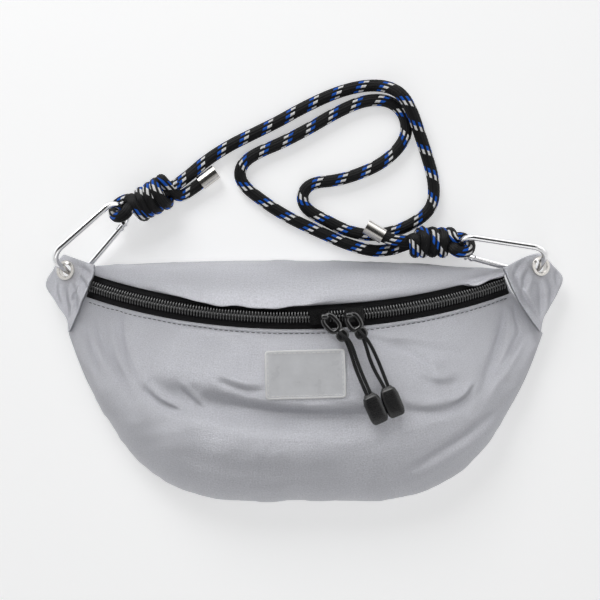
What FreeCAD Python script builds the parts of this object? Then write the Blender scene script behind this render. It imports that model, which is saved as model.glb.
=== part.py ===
"""Nylon waist bag with a curved coil zip, two corded pulls, and a rope strap on two carabiners.

The bag lies on its flat back panel. The origin is the middle of that panel's underside, +X runs
along the bag's width, +Y from its rounded bottom to its strap edge, and +Z out of the front.
All sizes are millimetres and degrees. The driving sizes are in the sheet "Sizes".
"""

import FreeCAD, Part
import math
import os
import re

import Sketcher
from FreeCAD import Placement, Rotation, Vector

SIZES = [
    # body of the bag
    ("bag_half_width", 154.5),      # middle of the bag to the foot of a side seam
    ("bag_depth", 79.0),            # origin to the lowest point of the rounded bottom
    ("top_edge_y", 79.5),           # origin to the middle of the strap edge
    ("seam_foot_y", 32.0),          # foot of the side seams above the origin
    ("left_seam_head_x", 137.0),
    ("left_seam_head_y", 76.0),
    ("right_seam_head_x", 126.0),
    ("right_seam_head_y", 73.7),
    ("flat_half", 95.0),            # half of the back's flat stretch
    ("end_lift_radius", 165.0),     # the back curls up past the flat stretch
    ("fabric_thick", 1.2),
    ("lining_thick", 0.5),
    ("lining_end_share", 0.06),     # share of the zip's length left unlined at each end
    ("seam_gap", 0.15),
    ("front_rise", 13.0),
    ("front_drop", 54.0),
    ("top_rise", 30.0),
    ("top_overhang", 2.0),
    ("top_puff", 9.0),
    # zip
    ("zip_radius", 280.0),
    ("zip_mid_x", -8.0),
    ("zip_mid_y", 42.5),
    ("zip_mid_z", 42.0),
    ("zip_tilt", 53.1301),          # lean of the zip's axis from +Z
    ("zip_left_run", 139.3),        # along the zip, from its middle to its ends
    ("zip_right_run", 146.6),
    ("zip_opening_half", 7.5),      # middle of the zip to the fabric's folded edge
    ("tape_half", 8.8),
    ("tape_thick", 0.6),
    ("coil_inner", 0.7),
    ("coil_outer", 3.9),
    ("coil_top", 1.2),
    ("coil_bottom", -1.4),
    # sliders and pulls
    ("left_slider_angle", 3.3),
    ("right_slider_angle", 7.8),
    ("slider_length", 12.0),
    ("slider_width", 9.0),
    ("slider_plate", 1.2),
    ("slider_gap", 0.35),
    ("bridge_shift", 3.5),          # the bar sits towards the slider's wide end
    ("bridge_post", 1.2),
    ("bar_radius", 0.8),
    ("bar_play", 0.1),
    ("knuckle_wall", 0.9),
    ("knuckle_length", 4.0),
    ("knuckle_side_gap", 0.3),
    ("pull_width", 6.4),
    ("pull_thick", 1.2),
    ("pull_eye_length", 3.0),
    ("pull_eye_width", 3.6),
    ("pull_eye_wall", 1.6),
    ("pull_lift", 5.6),             # height of the pull's eye above the front panel
    ("pull_cord_radius", 1.15),
    ("pull_cord_spread", 2.4),
    ("cord_end_length", 19.5),
    ("cord_end_width", 9.8),
    ("cord_end_thick", 7.6),
    ("cord_end_bevel", 1.6),
    ("rest_gap", 1.7),             # the pulls hang clear of the front and its label
    # tabs and eyelets
    ("tab_thick", 2.4),
    ("tab_reach", 33.0),            # eyelet to the foot of its tab
    ("tab_slope", 18.5),            # the tabs rise towards the bag
    ("tab_lap", 2.4),               # how far a tab laps over the bag's side seam
    ("left_eyelet_x", 155.8),
    ("left_eyelet_y", 72.6),
    ("right_eyelet_x", 152.6),
    ("right_eyelet_y", 75.3),
    ("left_eyelet_over_zip", -0.35),  # the eyelets' height from the zip's ends
    ("right_eyelet_over_zip", 2.51),
    ("eyelet_bore", 4.1),
    ("eyelet_rim", 6.7),
    ("eyelet_flange", 0.9),
    ("eyelet_barrel", 0.4),
    ("eyelet_fit", 0.1),
    # label
    ("label_width", 50.0),
    ("label_height", 30.0),
    ("label_thick", 0.8),
    ("label_x", -0.3),
    ("label_y", 7.4),
    ("label_turn", 1.5),
    # carabiners
    ("wire_radius", 2.0),
    ("carabiner_length", 54.0),
    ("carabiner_broad", 14.5),
    ("carabiner_narrow", 9.5),
    ("broad_bend", 9.0),
    ("narrow_bend", 7.0),
    ("gate_hinge_reach", 44.0),
    ("gate_nose_reach", 10.2),
    ("gate_gap", 0.5),
    ("hinge_reach", 3.0),           # pin to the end of the frame's round wire
    ("hinge_swing_gap", 0.3),
    ("tongue_thick", 1.4),
    ("tongue_gap", 0.3),
    ("rivet_radius", 0.6),
    ("rivet_head", 1.1),
    ("rivet_head_thick", 0.4),
    ("rivet_play", 0.06),
    ("collar_wall", 0.7),
    ("collar_length", 1.6),
    # strap
    ("rope_radius", 4.0),
    ("ferrule_length", 13.0),
    ("ferrule_wall", 0.8),
    ("ferrule_play", 0.1),
    ("rope_clear", 0.35),
]

doc = FreeCAD.newDocument("waist_bag")
sheet = doc.addObject("Spreadsheet::Sheet", "Sizes")
for row, (word, value) in enumerate(SIZES, start=1):
    sheet.set(f"A{row}", word)
    sheet.set(f"B{row}", str(value))
    sheet.setAlias(f"B{row}", word)
doc.recompute()


def size(expression):
    """The value of an expression in the sheet's sizes, such as "fabric_thick * 2"."""
    return float(sheet.evalExpression(expression))


NODES = []


def keep(node, label):
    """Names a sub-part; the label is also its file's name."""
    node.Label = label
    NODES.append(node)
    return node


def feature(label, shape, placement=None):
    """A free-form sub-part, kept as a feature with its own placement."""
    node = doc.addObject("Part::Feature", label)
    node.Shape = shape
    if placement is not None:
        node.Placement = placement.multiply(node.Placement)
    return keep(node, label)


# ---------------------------------------------------------------- sketches and bodies

def sheet_terms(expression):
    """Writes the sheet's name in front of every size in an expression."""
    words = {word for word, _ in SIZES}

    def with_sheet(found):
        word = found[0]
        return f"Sizes.{word}" if word in words else word

    return re.sub(r"[a-z_]+", with_sheet, expression)


def outline_sketch(body, plane_role, corners, hole=None):
    """A closed sketch on a body's own plane; each corner is a pair of expressions.

    A hole is the expression of a round hole's radius, about the plane's origin.
    """
    plane = next(item for item in body.Origin.OriginFeatures if item.Role == plane_role)
    sketch = body.newObject("Sketcher::SketchObject", f"{body.Name}_sketch")
    sketch.AttachmentSupport = (plane, [""])
    sketch.MapMode = "FlatFace"
    places = [Vector(size(across), size(up), 0) for across, up in corners]
    for index, start in enumerate(places):
        end = places[(index + 1) % len(places)]
        sketch.addGeometry(Part.LineSegment(start, end), False)
    for index in range(len(places)):
        follower = (index + 1) % len(places)
        sketch.addConstraint(Sketcher.Constraint("Coincident", index, 2, follower, 1))
    for index, (across, up) in enumerate(corners):
        for kind, expression, value in (
            ("DistanceX", across, places[index].x),
            ("DistanceY", up, places[index].y),
        ):
            number = sketch.addConstraint(Sketcher.Constraint(kind, -1, 1, index, 1, value))
            sketch.setExpression(f"Constraints[{number}]", sheet_terms(expression))
    if hole is not None:
        edge = len(places)
        sketch.addGeometry(Part.Circle(Vector(0, 0, 0), Vector(0, 0, 1), size(hole)), False)
        sketch.addConstraint(Sketcher.Constraint("Coincident", edge, 3, -1, 1))
        number = sketch.addConstraint(Sketcher.Constraint("Radius", edge, size(hole)))
        sketch.setExpression(f"Constraints[{number}]", sheet_terms(hole))
    return sketch


def pad_body(name, plane_role, corners, length, symmetric=False, hole=None):
    body = doc.addObject("PartDesign::Body", name)
    sketch = outline_sketch(body, plane_role, corners, hole)
    pad = body.newObject("PartDesign::Pad", f"{name}_pad")
    pad.Profile = sketch
    pad.setExpression("Length", sheet_terms(length))
    if symmetric:
        pad.SideType = "Symmetric"
    return body


def turned_body(name, corners, angle="360"):
    """A profile (distance from the axis, height) turned about the body's own Z axis."""
    body = doc.addObject("PartDesign::Body", name)
    sketch = outline_sketch(body, "XZ_Plane", corners)
    turn = body.newObject("PartDesign::Revolution", f"{name}_turn")
    turn.Profile = sketch
    turn.ReferenceAxis = (sketch, ["V_Axis"])
    turn.setExpression("Angle", sheet_terms(angle))
    if angle != "360":
        turn.Midplane = True
    return body


# ---------------------------------------------------------------- curves and tubes

def rounded_path(corners, bends):
    """Straight runs joined by tangent arcs; one bend radius for each inner corner."""
    edges = []
    start = corners[0]
    for before, corner, after, bend in zip(corners, corners[1:], corners[2:], bends):
        come = (corner - before).normalize()
        go = (after - corner).normalize()
        half_turn = come.getAngle(go) / 2
        reach = bend * math.tan(half_turn)
        arc_start = corner - come * reach
        arc_end = corner + go * reach
        inward = (go - come).normalize()
        middle = corner + inward * (bend / math.cos(half_turn) - bend)
        edges.append(Part.LineSegment(start, arc_start).toShape())
        edges.append(Part.Arc(arc_start, middle, arc_end).toShape())
        start = arc_end
    edges.append(Part.LineSegment(start, corners[-1]).toShape())
    return Part.Wire(edges)


def widest_bends(corners):
    """At each corner the largest arc that its two runs allow."""
    bends = []
    for before, corner, after in zip(corners, corners[1:], corners[2:]):
        run = min((corner - before).Length, (after - corner).Length)
        half_turn = (corner - before).getAngle(after - corner) / 2
        bends.append(0.45 * run / math.tan(half_turn))
    return bends


def tube(path, radius):
    """A round bar swept along a path."""
    start = path.Edges[0]
    heading = start.tangentAt(start.FirstParameter)
    ring = Part.Wire(Part.makeCircle(radius, start.valueAt(start.FirstParameter), heading))
    return path.makePipeShell([ring], True, False)


def cord_tube(label, corners, radius):
    """A cord's tube; prints its bends and how its volume compares with its length."""
    bends = widest_bends(corners)
    path = rounded_path(corners, bends)
    solid = tube(path, radius)
    ratio = solid.Volume / (math.pi * radius ** 2 * path.Length)
    print(label, "bends", [round(bend, 1) for bend in bends], "length", round(path.Length, 1),
          "volume ratio", round(ratio, 4))
    return solid


def slab(point, near, far, rows=13, columns=9):
    """A closed sheet between two offsets, along its normal, from the surface point(u, v)."""
    step = 1e-3

    def offset(u, v, depth):
        along = point(min(u + step, 1), v) - point(max(u - step, 0), v)
        across = point(u, min(v + step, 1)) - point(u, max(v - step, 0))
        return point(u, v) + along.cross(across).normalize() * depth

    faces = []
    skins = []
    for depth in sorted((near, far)):
        grid = [
            [offset(u / (rows - 1), v / (columns - 1), depth) for v in range(columns)]
            for u in range(rows)
        ]
        skin = Part.BSplineSurface()
        skin.interpolate(grid)
        skins.append(skin)
        faces.append(skin.toShape())
    low_u, high_u, low_v, high_v = skins[0].bounds()
    for rim in (
        lambda skin: skin.uIso(low_u),
        lambda skin: skin.uIso(high_u),
        lambda skin: skin.vIso(low_v),
        lambda skin: skin.vIso(high_v),
    ):
        faces.append(rim(skins[0]).makeRuledSurface(rim(skins[1])).toShape())
    shell = Part.makeShell(faces)
    shell.sewShape()
    return Part.makeSolid(shell)


def mix(start, end, share):
    return start + (end - start) * share


def bezier(controls, share):
    """A point of the cubic curve through four control points."""
    first, second, third, fourth = controls
    rest = 1 - share
    return (
        first * rest ** 3
        + second * (3 * rest ** 2 * share)
        + third * (3 * rest * share ** 2)
        + fourth * share ** 3
    )


# ---------------------------------------------------------------- zip arc

TILT = math.radians(size("zip_tilt"))
RADIAL = Vector(0, -math.cos(TILT), math.sin(TILT))
TANGENT = Vector(1, 0, 0)
AXIS = Vector(0, math.sin(TILT), math.cos(TILT))
ZIP_CENTRE = Vector(size("zip_mid_x"), size("zip_mid_y"), size("zip_mid_z")) - RADIAL * size("zip_radius")
COS_TILT = math.cos(TILT)
SIN_TILT = math.sin(TILT)


def zip_point(angle, down=0.0, out=0.0):
    """A point by its angle along the zip, down towards the bag's bottom and out of its face."""
    turn = math.radians(angle)
    radial = RADIAL * math.cos(turn) + TANGENT * math.sin(turn)
    reach = size("zip_radius") + down * COS_TILT + out * SIN_TILT
    return ZIP_CENTRE + radial * reach + AXIS * (out * COS_TILT - down * SIN_TILT)


def zip_frame(angle):
    """Placement on the zip's middle line: X along the zip, Y to the strap edge, Z out."""
    turn = math.radians(angle)
    radial = RADIAL * math.cos(turn) + TANGENT * math.sin(turn)
    along = TANGENT * math.cos(turn) - RADIAL * math.sin(turn)
    out = radial * SIN_TILT + AXIS * COS_TILT
    return Placement(zip_point(angle), Rotation(along, out.cross(along), out, "ZXY"))


def zip_body(name, corners):
    """A strip turned about the zip's axis; corners are (down, out) pairs of expressions."""
    profile = [
        (f"zip_radius + ( {down} ) * {COS_TILT} + ( {out} ) * {SIN_TILT}",
         f"( {out} ) * {COS_TILT} - ( {down} ) * {SIN_TILT}")
        for down, out in corners
    ]
    body = turned_body(name, profile, "( zip_left_run + zip_right_run ) / zip_radius * 180 / pi")
    middle = (size("zip_right_run") - size("zip_left_run")) / size("zip_radius") / 2
    radial = RADIAL * math.cos(middle) + TANGENT * math.sin(middle)
    along = TANGENT * math.cos(middle) - RADIAL * math.sin(middle)
    body.Placement = Placement(ZIP_CENTRE, Rotation(radial, along, AXIS, "ZXY"))
    return keep(body, name)


def zip_strips():
    for side, sign in (("front", ""), ("rear", "-1 * ")):
        zip_body(f"zip_tape_{side}", [
            (f"{sign}coil_inner", "coil_bottom - seam_gap - tape_thick"),
            (f"{sign}tape_half", "coil_bottom - seam_gap - tape_thick"),
            (f"{sign}tape_half", "coil_bottom - seam_gap"),
            (f"{sign}coil_inner", "coil_bottom - seam_gap"),
        ])
        zip_body(f"zip_coil_{side}", [
            (f"{sign}coil_inner", "coil_bottom"),
            (f"{sign}coil_outer", "coil_bottom"),
            (f"{sign}coil_outer", "coil_top * 0.4"),
            (f"{sign}coil_outer * 0.8", "coil_top"),
            (f"{sign}coil_inner", "coil_top"),
        ])


# ---------------------------------------------------------------- body of the bag

# The rounded bottom, from the left seam's foot to the middle, as shares of the
# half width and, below the X axis, of the depth.
BOTTOM_SHARES = [(-0.926, 0.0), (-0.835, -0.34), (-0.731, -0.633), (-0.595, -0.848), (-0.4, -0.981)]


def bottom_places():
    half_width = size("bag_half_width")
    left = [Vector(-half_width, size("seam_foot_y"), 0)]
    left += [Vector(across * half_width, up * size("bag_depth"), 0) for across, up in BOTTOM_SHARES]
    right = [Vector(-place.x, place.y, 0) for place in reversed(left)]
    return left + [Vector(0, -size("bag_depth"), 0)] + right


BOTTOM = Part.BSplineCurve()
BOTTOM.interpolate(bottom_places())
BOTTOM_LENGTH = BOTTOM.length()


def lift(x):
    """Height of the back panel's underside, which curls up at the bag's ends."""
    past = max(abs(x) - size("flat_half"), 0)
    radius = size("end_lift_radius")
    return radius - math.sqrt(radius ** 2 - past ** 2)


def seat(x, y):
    """A point just above the back panel."""
    return Vector(x, y, lift(x) + size("fabric_thick") + size("seam_gap"))


def bottom_point(share):
    place = BOTTOM.value(BOTTOM.parameterAtDistance(BOTTOM_LENGTH * share))
    return seat(place.x, place.y)


def edge_angle(share):
    """Angle along the zip at a share of its length, from its left end."""
    run = mix(-size("zip_left_run"), size("zip_right_run"), share)
    return math.degrees(run / size("zip_radius"))


LEAST_FULLNESS = 0.06


def front_point(along, down):
    """The front panel: from the zip's lower edge, over the bulge, to the rounded bottom."""
    start = zip_point(edge_angle(along), size("zip_opening_half"))
    end = bottom_point(along)
    fullness = max((start.z - end.z) / size("zip_mid_z"), LEAST_FULLNESS)
    out = Vector(0, 0, 1)
    return bezier([
        start,
        mix(start, Vector(end.x, end.y, start.z), 0.35) + out * (size("front_rise") * fullness),
        end + out * (size("front_drop") * fullness),
        end,
    ], down)


LEFT_HEAD = Vector(-size("left_seam_head_x"), size("left_seam_head_y"), 0)
RIGHT_HEAD = Vector(size("right_seam_head_x"), size("right_seam_head_y"), 0)
TOP_EDGE = Part.Arc(LEFT_HEAD, Vector(size("zip_mid_x"), size("top_edge_y"), 0), RIGHT_HEAD)


def top_edge_point(share):
    place = TOP_EDGE.value(mix(TOP_EDGE.FirstParameter, TOP_EDGE.LastParameter, share))
    return seat(place.x, place.y)


def top_point(along, up):
    """The gusset between the zip's upper edge and the strap edge."""
    start = zip_point(edge_angle(along), -size("zip_opening_half"))
    end = top_edge_point(along)
    fullness = max((start.z - end.z) / size("zip_mid_z"), LEAST_FULLNESS)
    return bezier([
        start,
        start + Vector(0, size("top_puff"), size("top_puff") * 0.7) * fullness,
        end + Vector(0, size("top_overhang"), size("top_rise")) * fullness,
        end,
    ], up)


def back_strip_corners():
    """The back's side view: a flat stretch with two curled ends, as chords of the arc."""
    shares = [0.0, 0.25, 0.5, 0.75, 1.0]
    half = "( bag_half_width + 1 - flat_half )"
    lower = []
    for share in shares:
        past = f"( {share} * {half} )"
        rise = f"end_lift_radius - sqrt(end_lift_radius ^ 2 - {past} ^ 2)"
        lower.append((f"flat_half + {past}", rise))
    left = [(f"-1 * ( {across} )", up) for across, up in reversed(lower)]
    under = left + lower
    over = [(across, f"{up} + fabric_thick") for across, up in reversed(under)]
    return under + over


def back_panel():
    strip = pad_body("back_strip", "XZ_Plane", back_strip_corners(), "bag_depth * 3", True)
    plan = Part.Wire(Part.sortEdges([
        BOTTOM.toShape(),
        Part.LineSegment(bottom_places()[-1], RIGHT_HEAD).toShape(),
        TOP_EDGE.toShape(),
        Part.LineSegment(LEFT_HEAD, bottom_places()[0]).toShape(),
    ])[0])
    blank = doc.addObject("Part::Feature", "back_blank")
    blank.Shape = Part.Face(plan).extrude(Vector(0, 0, size("bag_depth")))
    panel = doc.addObject("Part::Common", "back_panel")
    panel.Base = strip
    panel.Tool = blank
    keep(panel, "back_panel")
    lining = pad_body("back_lining", "XY_Plane", [
        ("-1 * flat_half", "bag_depth * -0.45"),
        ("flat_half * -0.6", "bag_depth * -0.85"),
        ("flat_half * 0.6", "bag_depth * -0.85"),
        ("flat_half", "bag_depth * -0.45"),
        ("flat_half", "top_edge_y - 6"),
        ("-1 * flat_half", "top_edge_y - 6"),
    ], "lining_thick")
    lining.Placement = Placement(Vector(0, 0, size("fabric_thick + seam_gap")), Rotation())
    keep(lining, "back_lining")


def short_of_ends(point):
    """The same surface without the strips next to the side seams, where it turns too tightly."""
    end = size("lining_end_share")
    return lambda along, across: point(mix(end, 1 - end, along), across)


def panels():
    outer = size("fabric_thick")
    inner = size("tape_thick - coil_bottom + seam_gap * 4")
    feature("front_panel", slab(front_point, 0, outer))
    feature("top_panel", slab(top_point, 0, -outer))
    feature("front_lining", slab(short_of_ends(front_point), inner, inner + size("lining_thick")))
    feature("top_lining", slab(short_of_ends(top_point), -inner, -inner - size("lining_thick")))


def front_at(x, y):
    """The point of the front panel's surface at a place in plan, found by a few Newton steps."""
    along = (x + size("bag_half_width")) / (2 * size("bag_half_width"))
    down = 0.5
    step = 1e-4
    for _ in range(12):
        here = front_point(along, down)
        by_along = (front_point(along + step, down) - here) / step
        by_down = (front_point(along, down + step) - here) / step
        miss_x = x - here.x
        miss_y = y - here.y
        scale = by_along.x * by_down.y - by_along.y * by_down.x
        along += (miss_x * by_down.y - miss_y * by_down.x) / scale
        down += (miss_y * by_along.x - miss_x * by_along.y) / scale
        along = min(max(along, 0.0), 1.0 - step)
        down = min(max(down, 0.0), 1.0 - step)
    return front_point(along, down)


def label_patch():
    turn = math.radians(size("label_turn"))
    across = Vector(math.cos(turn), math.sin(turn), 0)
    up = Vector(-math.sin(turn), math.cos(turn), 0)
    middle = Vector(size("label_x"), size("label_y"), 0)

    def label_point(along, rise):
        place = middle + across * ((along - 0.5) * size("label_width"))
        place = place + up * ((rise - 0.5) * size("label_height"))
        return front_at(place.x, place.y)

    near = size("seam_gap")
    feature("label_patch", slab(label_point, near, near + size("label_thick"), 6, 6))


# ---------------------------------------------------------------- tabs and eyelets

# Each tab's free corners, in its own plane, measured from its eyelet in shares of the tab's reach.
LEFT_TAB = [(-0.07, 0.318), (-0.321, 0.003), (-0.485, -0.255), (0.03, -1.009)]
RIGHT_TAB = [(-0.382, 0.176), (0.073, 0.236), (0.267, 0.067),
             (0.539, -0.206), (0.376, -0.585), (0.112, -0.964)]


def tab_frame(side):
    sign = -1 if side == "left" else 1
    zip_end = zip_point(edge_angle(0 if side == "left" else 1))
    height = zip_end.z + size(f"{side}_eyelet_over_zip")
    centre = Vector(sign * size(f"{side}_eyelet_x"), size(f"{side}_eyelet_y"), height)
    return Placement(centre, Rotation(Vector(0, 1, 0), sign * size("tab_slope")))


def tabs():
    free = {
        side: [(f"{across} * tab_reach", f"{up} * tab_reach") for across, up in shares]
        for side, shares in (("left", LEFT_TAB), ("right", RIGHT_TAB))
    }
    corners = {
        "left": free["left"] + [
            ("left_eyelet_x - bag_half_width", "seam_foot_y - left_eyelet_y"),
            ("left_eyelet_x - left_seam_head_x", "tab_reach * -0.158"),
            ("left_eyelet_x - left_seam_head_x + tab_lap", "left_seam_head_y - left_eyelet_y"),
        ],
        "right": free["right"] + [
            ("bag_half_width - right_eyelet_x - tab_lap", "seam_foot_y - right_eyelet_y"),
            ("right_seam_head_x - right_eyelet_x + tab_lap", "tab_reach * -0.197"),
            ("right_seam_head_x - right_eyelet_x - tab_lap * 0.4", "right_seam_head_y - right_eyelet_y"),
        ],
    }
    for side in ("left", "right"):
        tab = pad_body(
            f"{side}_tab", "XY_Plane", corners[side], "tab_thick", True,
            "eyelet_bore + eyelet_barrel + eyelet_fit",
        )
        tab.Placement = tab_frame(side)
        keep(tab, f"{side}_tab")
        face = "( tab_thick / 2 + eyelet_fit / 2 )"
        eyelet = turned_body(f"{side}_eyelet", [
            ("eyelet_bore", f"-1 * {face} - eyelet_flange"),
            ("eyelet_bore + eyelet_barrel", f"-1 * {face} - eyelet_flange"),
            ("eyelet_bore + eyelet_barrel", face),
            ("eyelet_rim", face),
            ("eyelet_rim - eyelet_flange * 0.5", f"{face} + eyelet_flange"),
            ("eyelet_bore + eyelet_flange * 0.5", f"{face} + eyelet_flange"),
            ("eyelet_bore", f"{face} + eyelet_flange * 0.4"),
        ])
        eyelet.Placement = tab_frame(side)
        keep(eyelet, f"{side}_eyelet")
        washer = turned_body(f"{side}_eyelet_washer", [
            ("eyelet_bore + eyelet_barrel + eyelet_fit", f"-1 * {face} - eyelet_flange * 0.8"),
            ("eyelet_rim - eyelet_flange * 0.4", f"-1 * {face} - eyelet_flange * 0.8"),
            ("eyelet_rim", f"-1 * {face}"),
            ("eyelet_bore + eyelet_barrel + eyelet_fit", f"-1 * {face}"),
        ])
        washer.Placement = tab_frame(side)
        keep(washer, f"{side}_eyelet_washer")


# ---------------------------------------------------------------- sliders and pulls

def box(name, sides, corner):
    """A box primitive whose sides and corner are expressions."""
    block = doc.addObject("Part::Box", name)
    for word, expression in zip(("Length", "Width", "Height"), sides):
        block.setExpression(word, sheet_terms(expression))
    for word, expression in zip("xyz", corner):
        block.setExpression(f"Placement.Base.{word}", sheet_terms(expression))
    return block


def rod(name, radius, length, corner, turn):
    """A cylinder primitive; turn is the rotation that lays its axis down."""
    bar = doc.addObject("Part::Cylinder", name)
    bar.setExpression("Radius", sheet_terms(radius))
    bar.setExpression("Height", sheet_terms(length))
    bar.Placement = Placement(Vector(*(size(part) for part in corner)), turn)
    return bar


def joined(name, pieces):
    whole = doc.addObject("Part::MultiFuse", name)
    whole.Shapes = pieces
    return whole


ALONG_X = Rotation(Vector(0, 1, 0), 90)
BAR_HEIGHT = ("( coil_top + slider_gap + slider_plate + bar_radius"
              " + bar_play + knuckle_wall + knuckle_side_gap )")
POST_SPACE = "( knuckle_length / 2 + knuckle_side_gap )"


def bar_centre(side):
    """Middle of a slider's bar, where its pull is hinged."""
    sign = 1 if side == "left" else -1
    frame = zip_frame(size(f"{side}_slider_angle"))
    return frame.multVec(Vector(sign * size("bridge_shift"), 0, size(BAR_HEIGHT)))


def slider(side):
    sign = "1" if side == "left" else "-1"
    middle = f"{sign} * bridge_shift"
    top = "( coil_top + slider_gap )"
    bottom = "( coil_bottom - seam_gap - tape_thick - slider_gap )"
    post = f"( {top} + slider_plate * 0.9 )"
    post_height = f"{BAR_HEIGHT} + bar_radius * 1.4 - {post}"
    pieces = [
        box(f"{side}_slider_top", ("slider_length", "slider_width", "slider_plate"),
            ("slider_length / -2", "slider_width / -2", top)),
        box(f"{side}_slider_bottom", ("slider_length", "slider_width", "slider_plate"),
            ("slider_length / -2", "slider_width / -2", f"{bottom} - slider_plate")),
        box(f"{side}_slider_web",
            ("slider_length * 0.25", "( coil_inner - slider_gap ) * 2", f"{top} - {bottom} + slider_plate"),
            (f"slider_length * ( {sign} * 0.3 - 0.125 )", "slider_gap - coil_inner",
             f"{bottom} - slider_plate * 0.5")),
        box(f"{side}_bridge_low", ("bridge_post", "bar_radius * 4", post_height),
            (f"{middle} - {POST_SPACE} - bridge_post", "bar_radius * -2", post)),
        box(f"{side}_bridge_high", ("bridge_post", "bar_radius * 4", post_height),
            (f"{middle} + {POST_SPACE}", "bar_radius * -2", post)),
        rod(f"{side}_bar", "bar_radius", f"{POST_SPACE} * 2 + bridge_post",
            (f"{middle} - {POST_SPACE} - bridge_post * 0.5", "0", BAR_HEIGHT), ALONG_X),
    ]
    whole = joined(f"{side}_slider", pieces)
    whole.Placement = zip_frame(size(f"{side}_slider_angle"))
    keep(whole, f"{side}_slider")


# In plan: where each pull's eye lies, a point halfway down its cord, and its cord end's two ends.
PULL_PLACES = {
    "left": ((22.6, 31.4), (31.6, 11.5), (38.4, -4.3), (46.3, -22.1)),
    "right": ((34.3, 32.6), (42.6, 14.5), (49.3, 0.0), (56.6, -18.1)),
}


def above_front(place, gap):
    point = front_at(*place)
    return point + Vector(0, 0, gap)


def facing(start, end):
    """Placement at start with X towards end, Z as near up as it can be."""
    along = (end - start).normalize()
    side = Vector(0, 0, 1).cross(along).normalize()
    return Placement(start, Rotation(along, side, along.cross(side), "ZXY"))


def pull(side):
    eye, halfway, entry, tip = PULL_PLACES[side]
    pin = bar_centre(side)
    eye_point = above_front(eye, size("pull_lift"))
    frame = facing(pin, eye_point)
    reach = (eye_point - pin).Length
    knuckle = size("bar_radius + bar_play + knuckle_wall")
    wide = size("pull_width")
    thick = size("pull_thick")
    eye_long = size("pull_eye_length")
    eye_wide = size("pull_eye_width")
    plate_end = reach + eye_long * 0.3 + size("pull_eye_wall")
    plate = Part.makeBox(plate_end, wide, thick, Vector(0, -wide / 2, -thick / 2))
    corners = [edge for edge in plate.Edges if abs(edge.tangentAt(0).z) > 0.99 and edge.Vertexes[0].X > 1]
    plate = plate.makeFillet(wide * 0.3, corners)
    plate = plate.cut(Part.makeBox(
        eye_long, eye_wide, thick * 2, Vector(reach - eye_long * 0.7, -eye_wide / 2, -thick)))
    window = (reach - eye_long * 0.7) * 0.45
    plate = plate.cut(Part.makeBox(
        window, eye_wide * 0.8, thick * 2, Vector(knuckle * 1.9, -eye_wide * 0.4, -thick)))
    plate = plate.copy()
    plate.Placement = frame
    along = zip_frame(size(f"{side}_slider_angle")).Rotation.multVec(Vector(1, 0, 0))
    barrel_start = pin - along * (size("knuckle_length") / 2)
    barrel = Part.makeCylinder(knuckle, size("knuckle_length"), barrel_start, along)
    bore = Part.makeCylinder(size("bar_radius + bar_play"), wide * 3, pin - along * (wide * 1.5), along)
    posts = zip_frame(size(f"{side}_slider_angle"))
    shift = size("bridge_shift") * (1 if side == "left" else -1)
    space = size(POST_SPACE)
    post_zone = []
    for low in (shift - space - wide, shift + space - size("knuckle_side_gap")):
        high = wide + size("knuckle_side_gap")
        zone = Part.makeBox(high, knuckle * 3.4, knuckle * 8, Vector(low, knuckle * -1.7, knuckle * -4))
        zone.Placement = posts
        zone.translate(pin - posts.multVec(Vector(shift, 0, 0)))
        post_zone.append(zone)
    feature(f"{side}_pull_tab", barrel.fuse(plate.cut(post_zone)).cut(bore).removeSplitter())

    cord_radius = size("pull_cord_radius")
    out = frame.Rotation.multVec(Vector(0, 0, 1))
    down = frame.Rotation.multVec(Vector(1, 0, 0))
    sideways = frame.Rotation.multVec(Vector(0, 1, 0))
    loop = cord_radius * 2
    turn = eye_point - down * (eye_long * 0.2)
    spread = size("pull_cord_spread")
    block_height = size("cord_end_thick / 2 + rest_gap")
    entry_point = above_front(entry, block_height)
    tip_point = above_front(tip, block_height)
    block = facing(entry_point, tip_point)
    block_side = block.Rotation.multVec(Vector(0, 1, 0))
    half_point = above_front(halfway, cord_radius + size("rest_gap"))
    route = [
        entry_point + block_side * (spread / 2),
        half_point + sideways * spread + out,
        turn + down * (loop * 3) + out * loop + sideways * (spread / 2),
        turn + out * loop,
        turn - out * loop,
        turn + down * (loop * 3) - out * loop - sideways * (spread / 2),
        half_point - sideways * spread,
        entry_point - block_side * (spread / 2),
    ]
    bends = widest_bends(route)
    bends[2] = bends[3] = loop * 0.96
    print(f"{side}_pull_cord", "bends", [round(bend, 1) for bend in bends])
    feature(f"{side}_pull_cord", tube(rounded_path(route, bends), cord_radius))

    long = size("cord_end_length")
    across = size("cord_end_width")
    deep = size("cord_end_thick")
    blank = Part.makeBox(long, across, deep, Vector(size("eyelet_fit"), -across / 2, -deep / 2))
    blank = blank.makeChamfer(size("cord_end_bevel"), blank.Edges)
    blank.Placement = block
    feature(f"{side}_cord_end", blank)


# ---------------------------------------------------------------- carabiners

# Heading of each carabiner away from its eyelet, the side its gate is on, how far the gate
# side leans down, and how far from the middle of its broad end the eyelet holds it.
CARABINERS = {
    "left": (Vector(0.70, 0.714, 0), 1, 50.0, 3.0),
    "right": (Vector(-0.978, 0.208, 0), -1, 56.0, 4.5),
}


def carabiner_frame(side):
    """Placement at the middle of the broad end: X to the strap end, Y to the gate side."""
    heading, hand, lean, slip = CARABINERS[side]
    level = Vector(heading.y, -heading.x, 0) * hand
    lean = math.radians(lean)
    gate_side = level * math.cos(lean) - Vector(0, 0, math.sin(lean))
    broad_end = tab_frame(side).Base - gate_side * slip
    return Placement(broad_end, Rotation(heading, gate_side, heading.cross(gate_side), "ZXY"))


def gate_line(reach):
    """A point on the gate's side of the carabiner, by its distance from the eyelet."""
    broad = size("carabiner_broad")
    taper = (broad - size("carabiner_narrow")) / size("carabiner_length")
    return Vector(reach, broad - taper * reach, 0)


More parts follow.
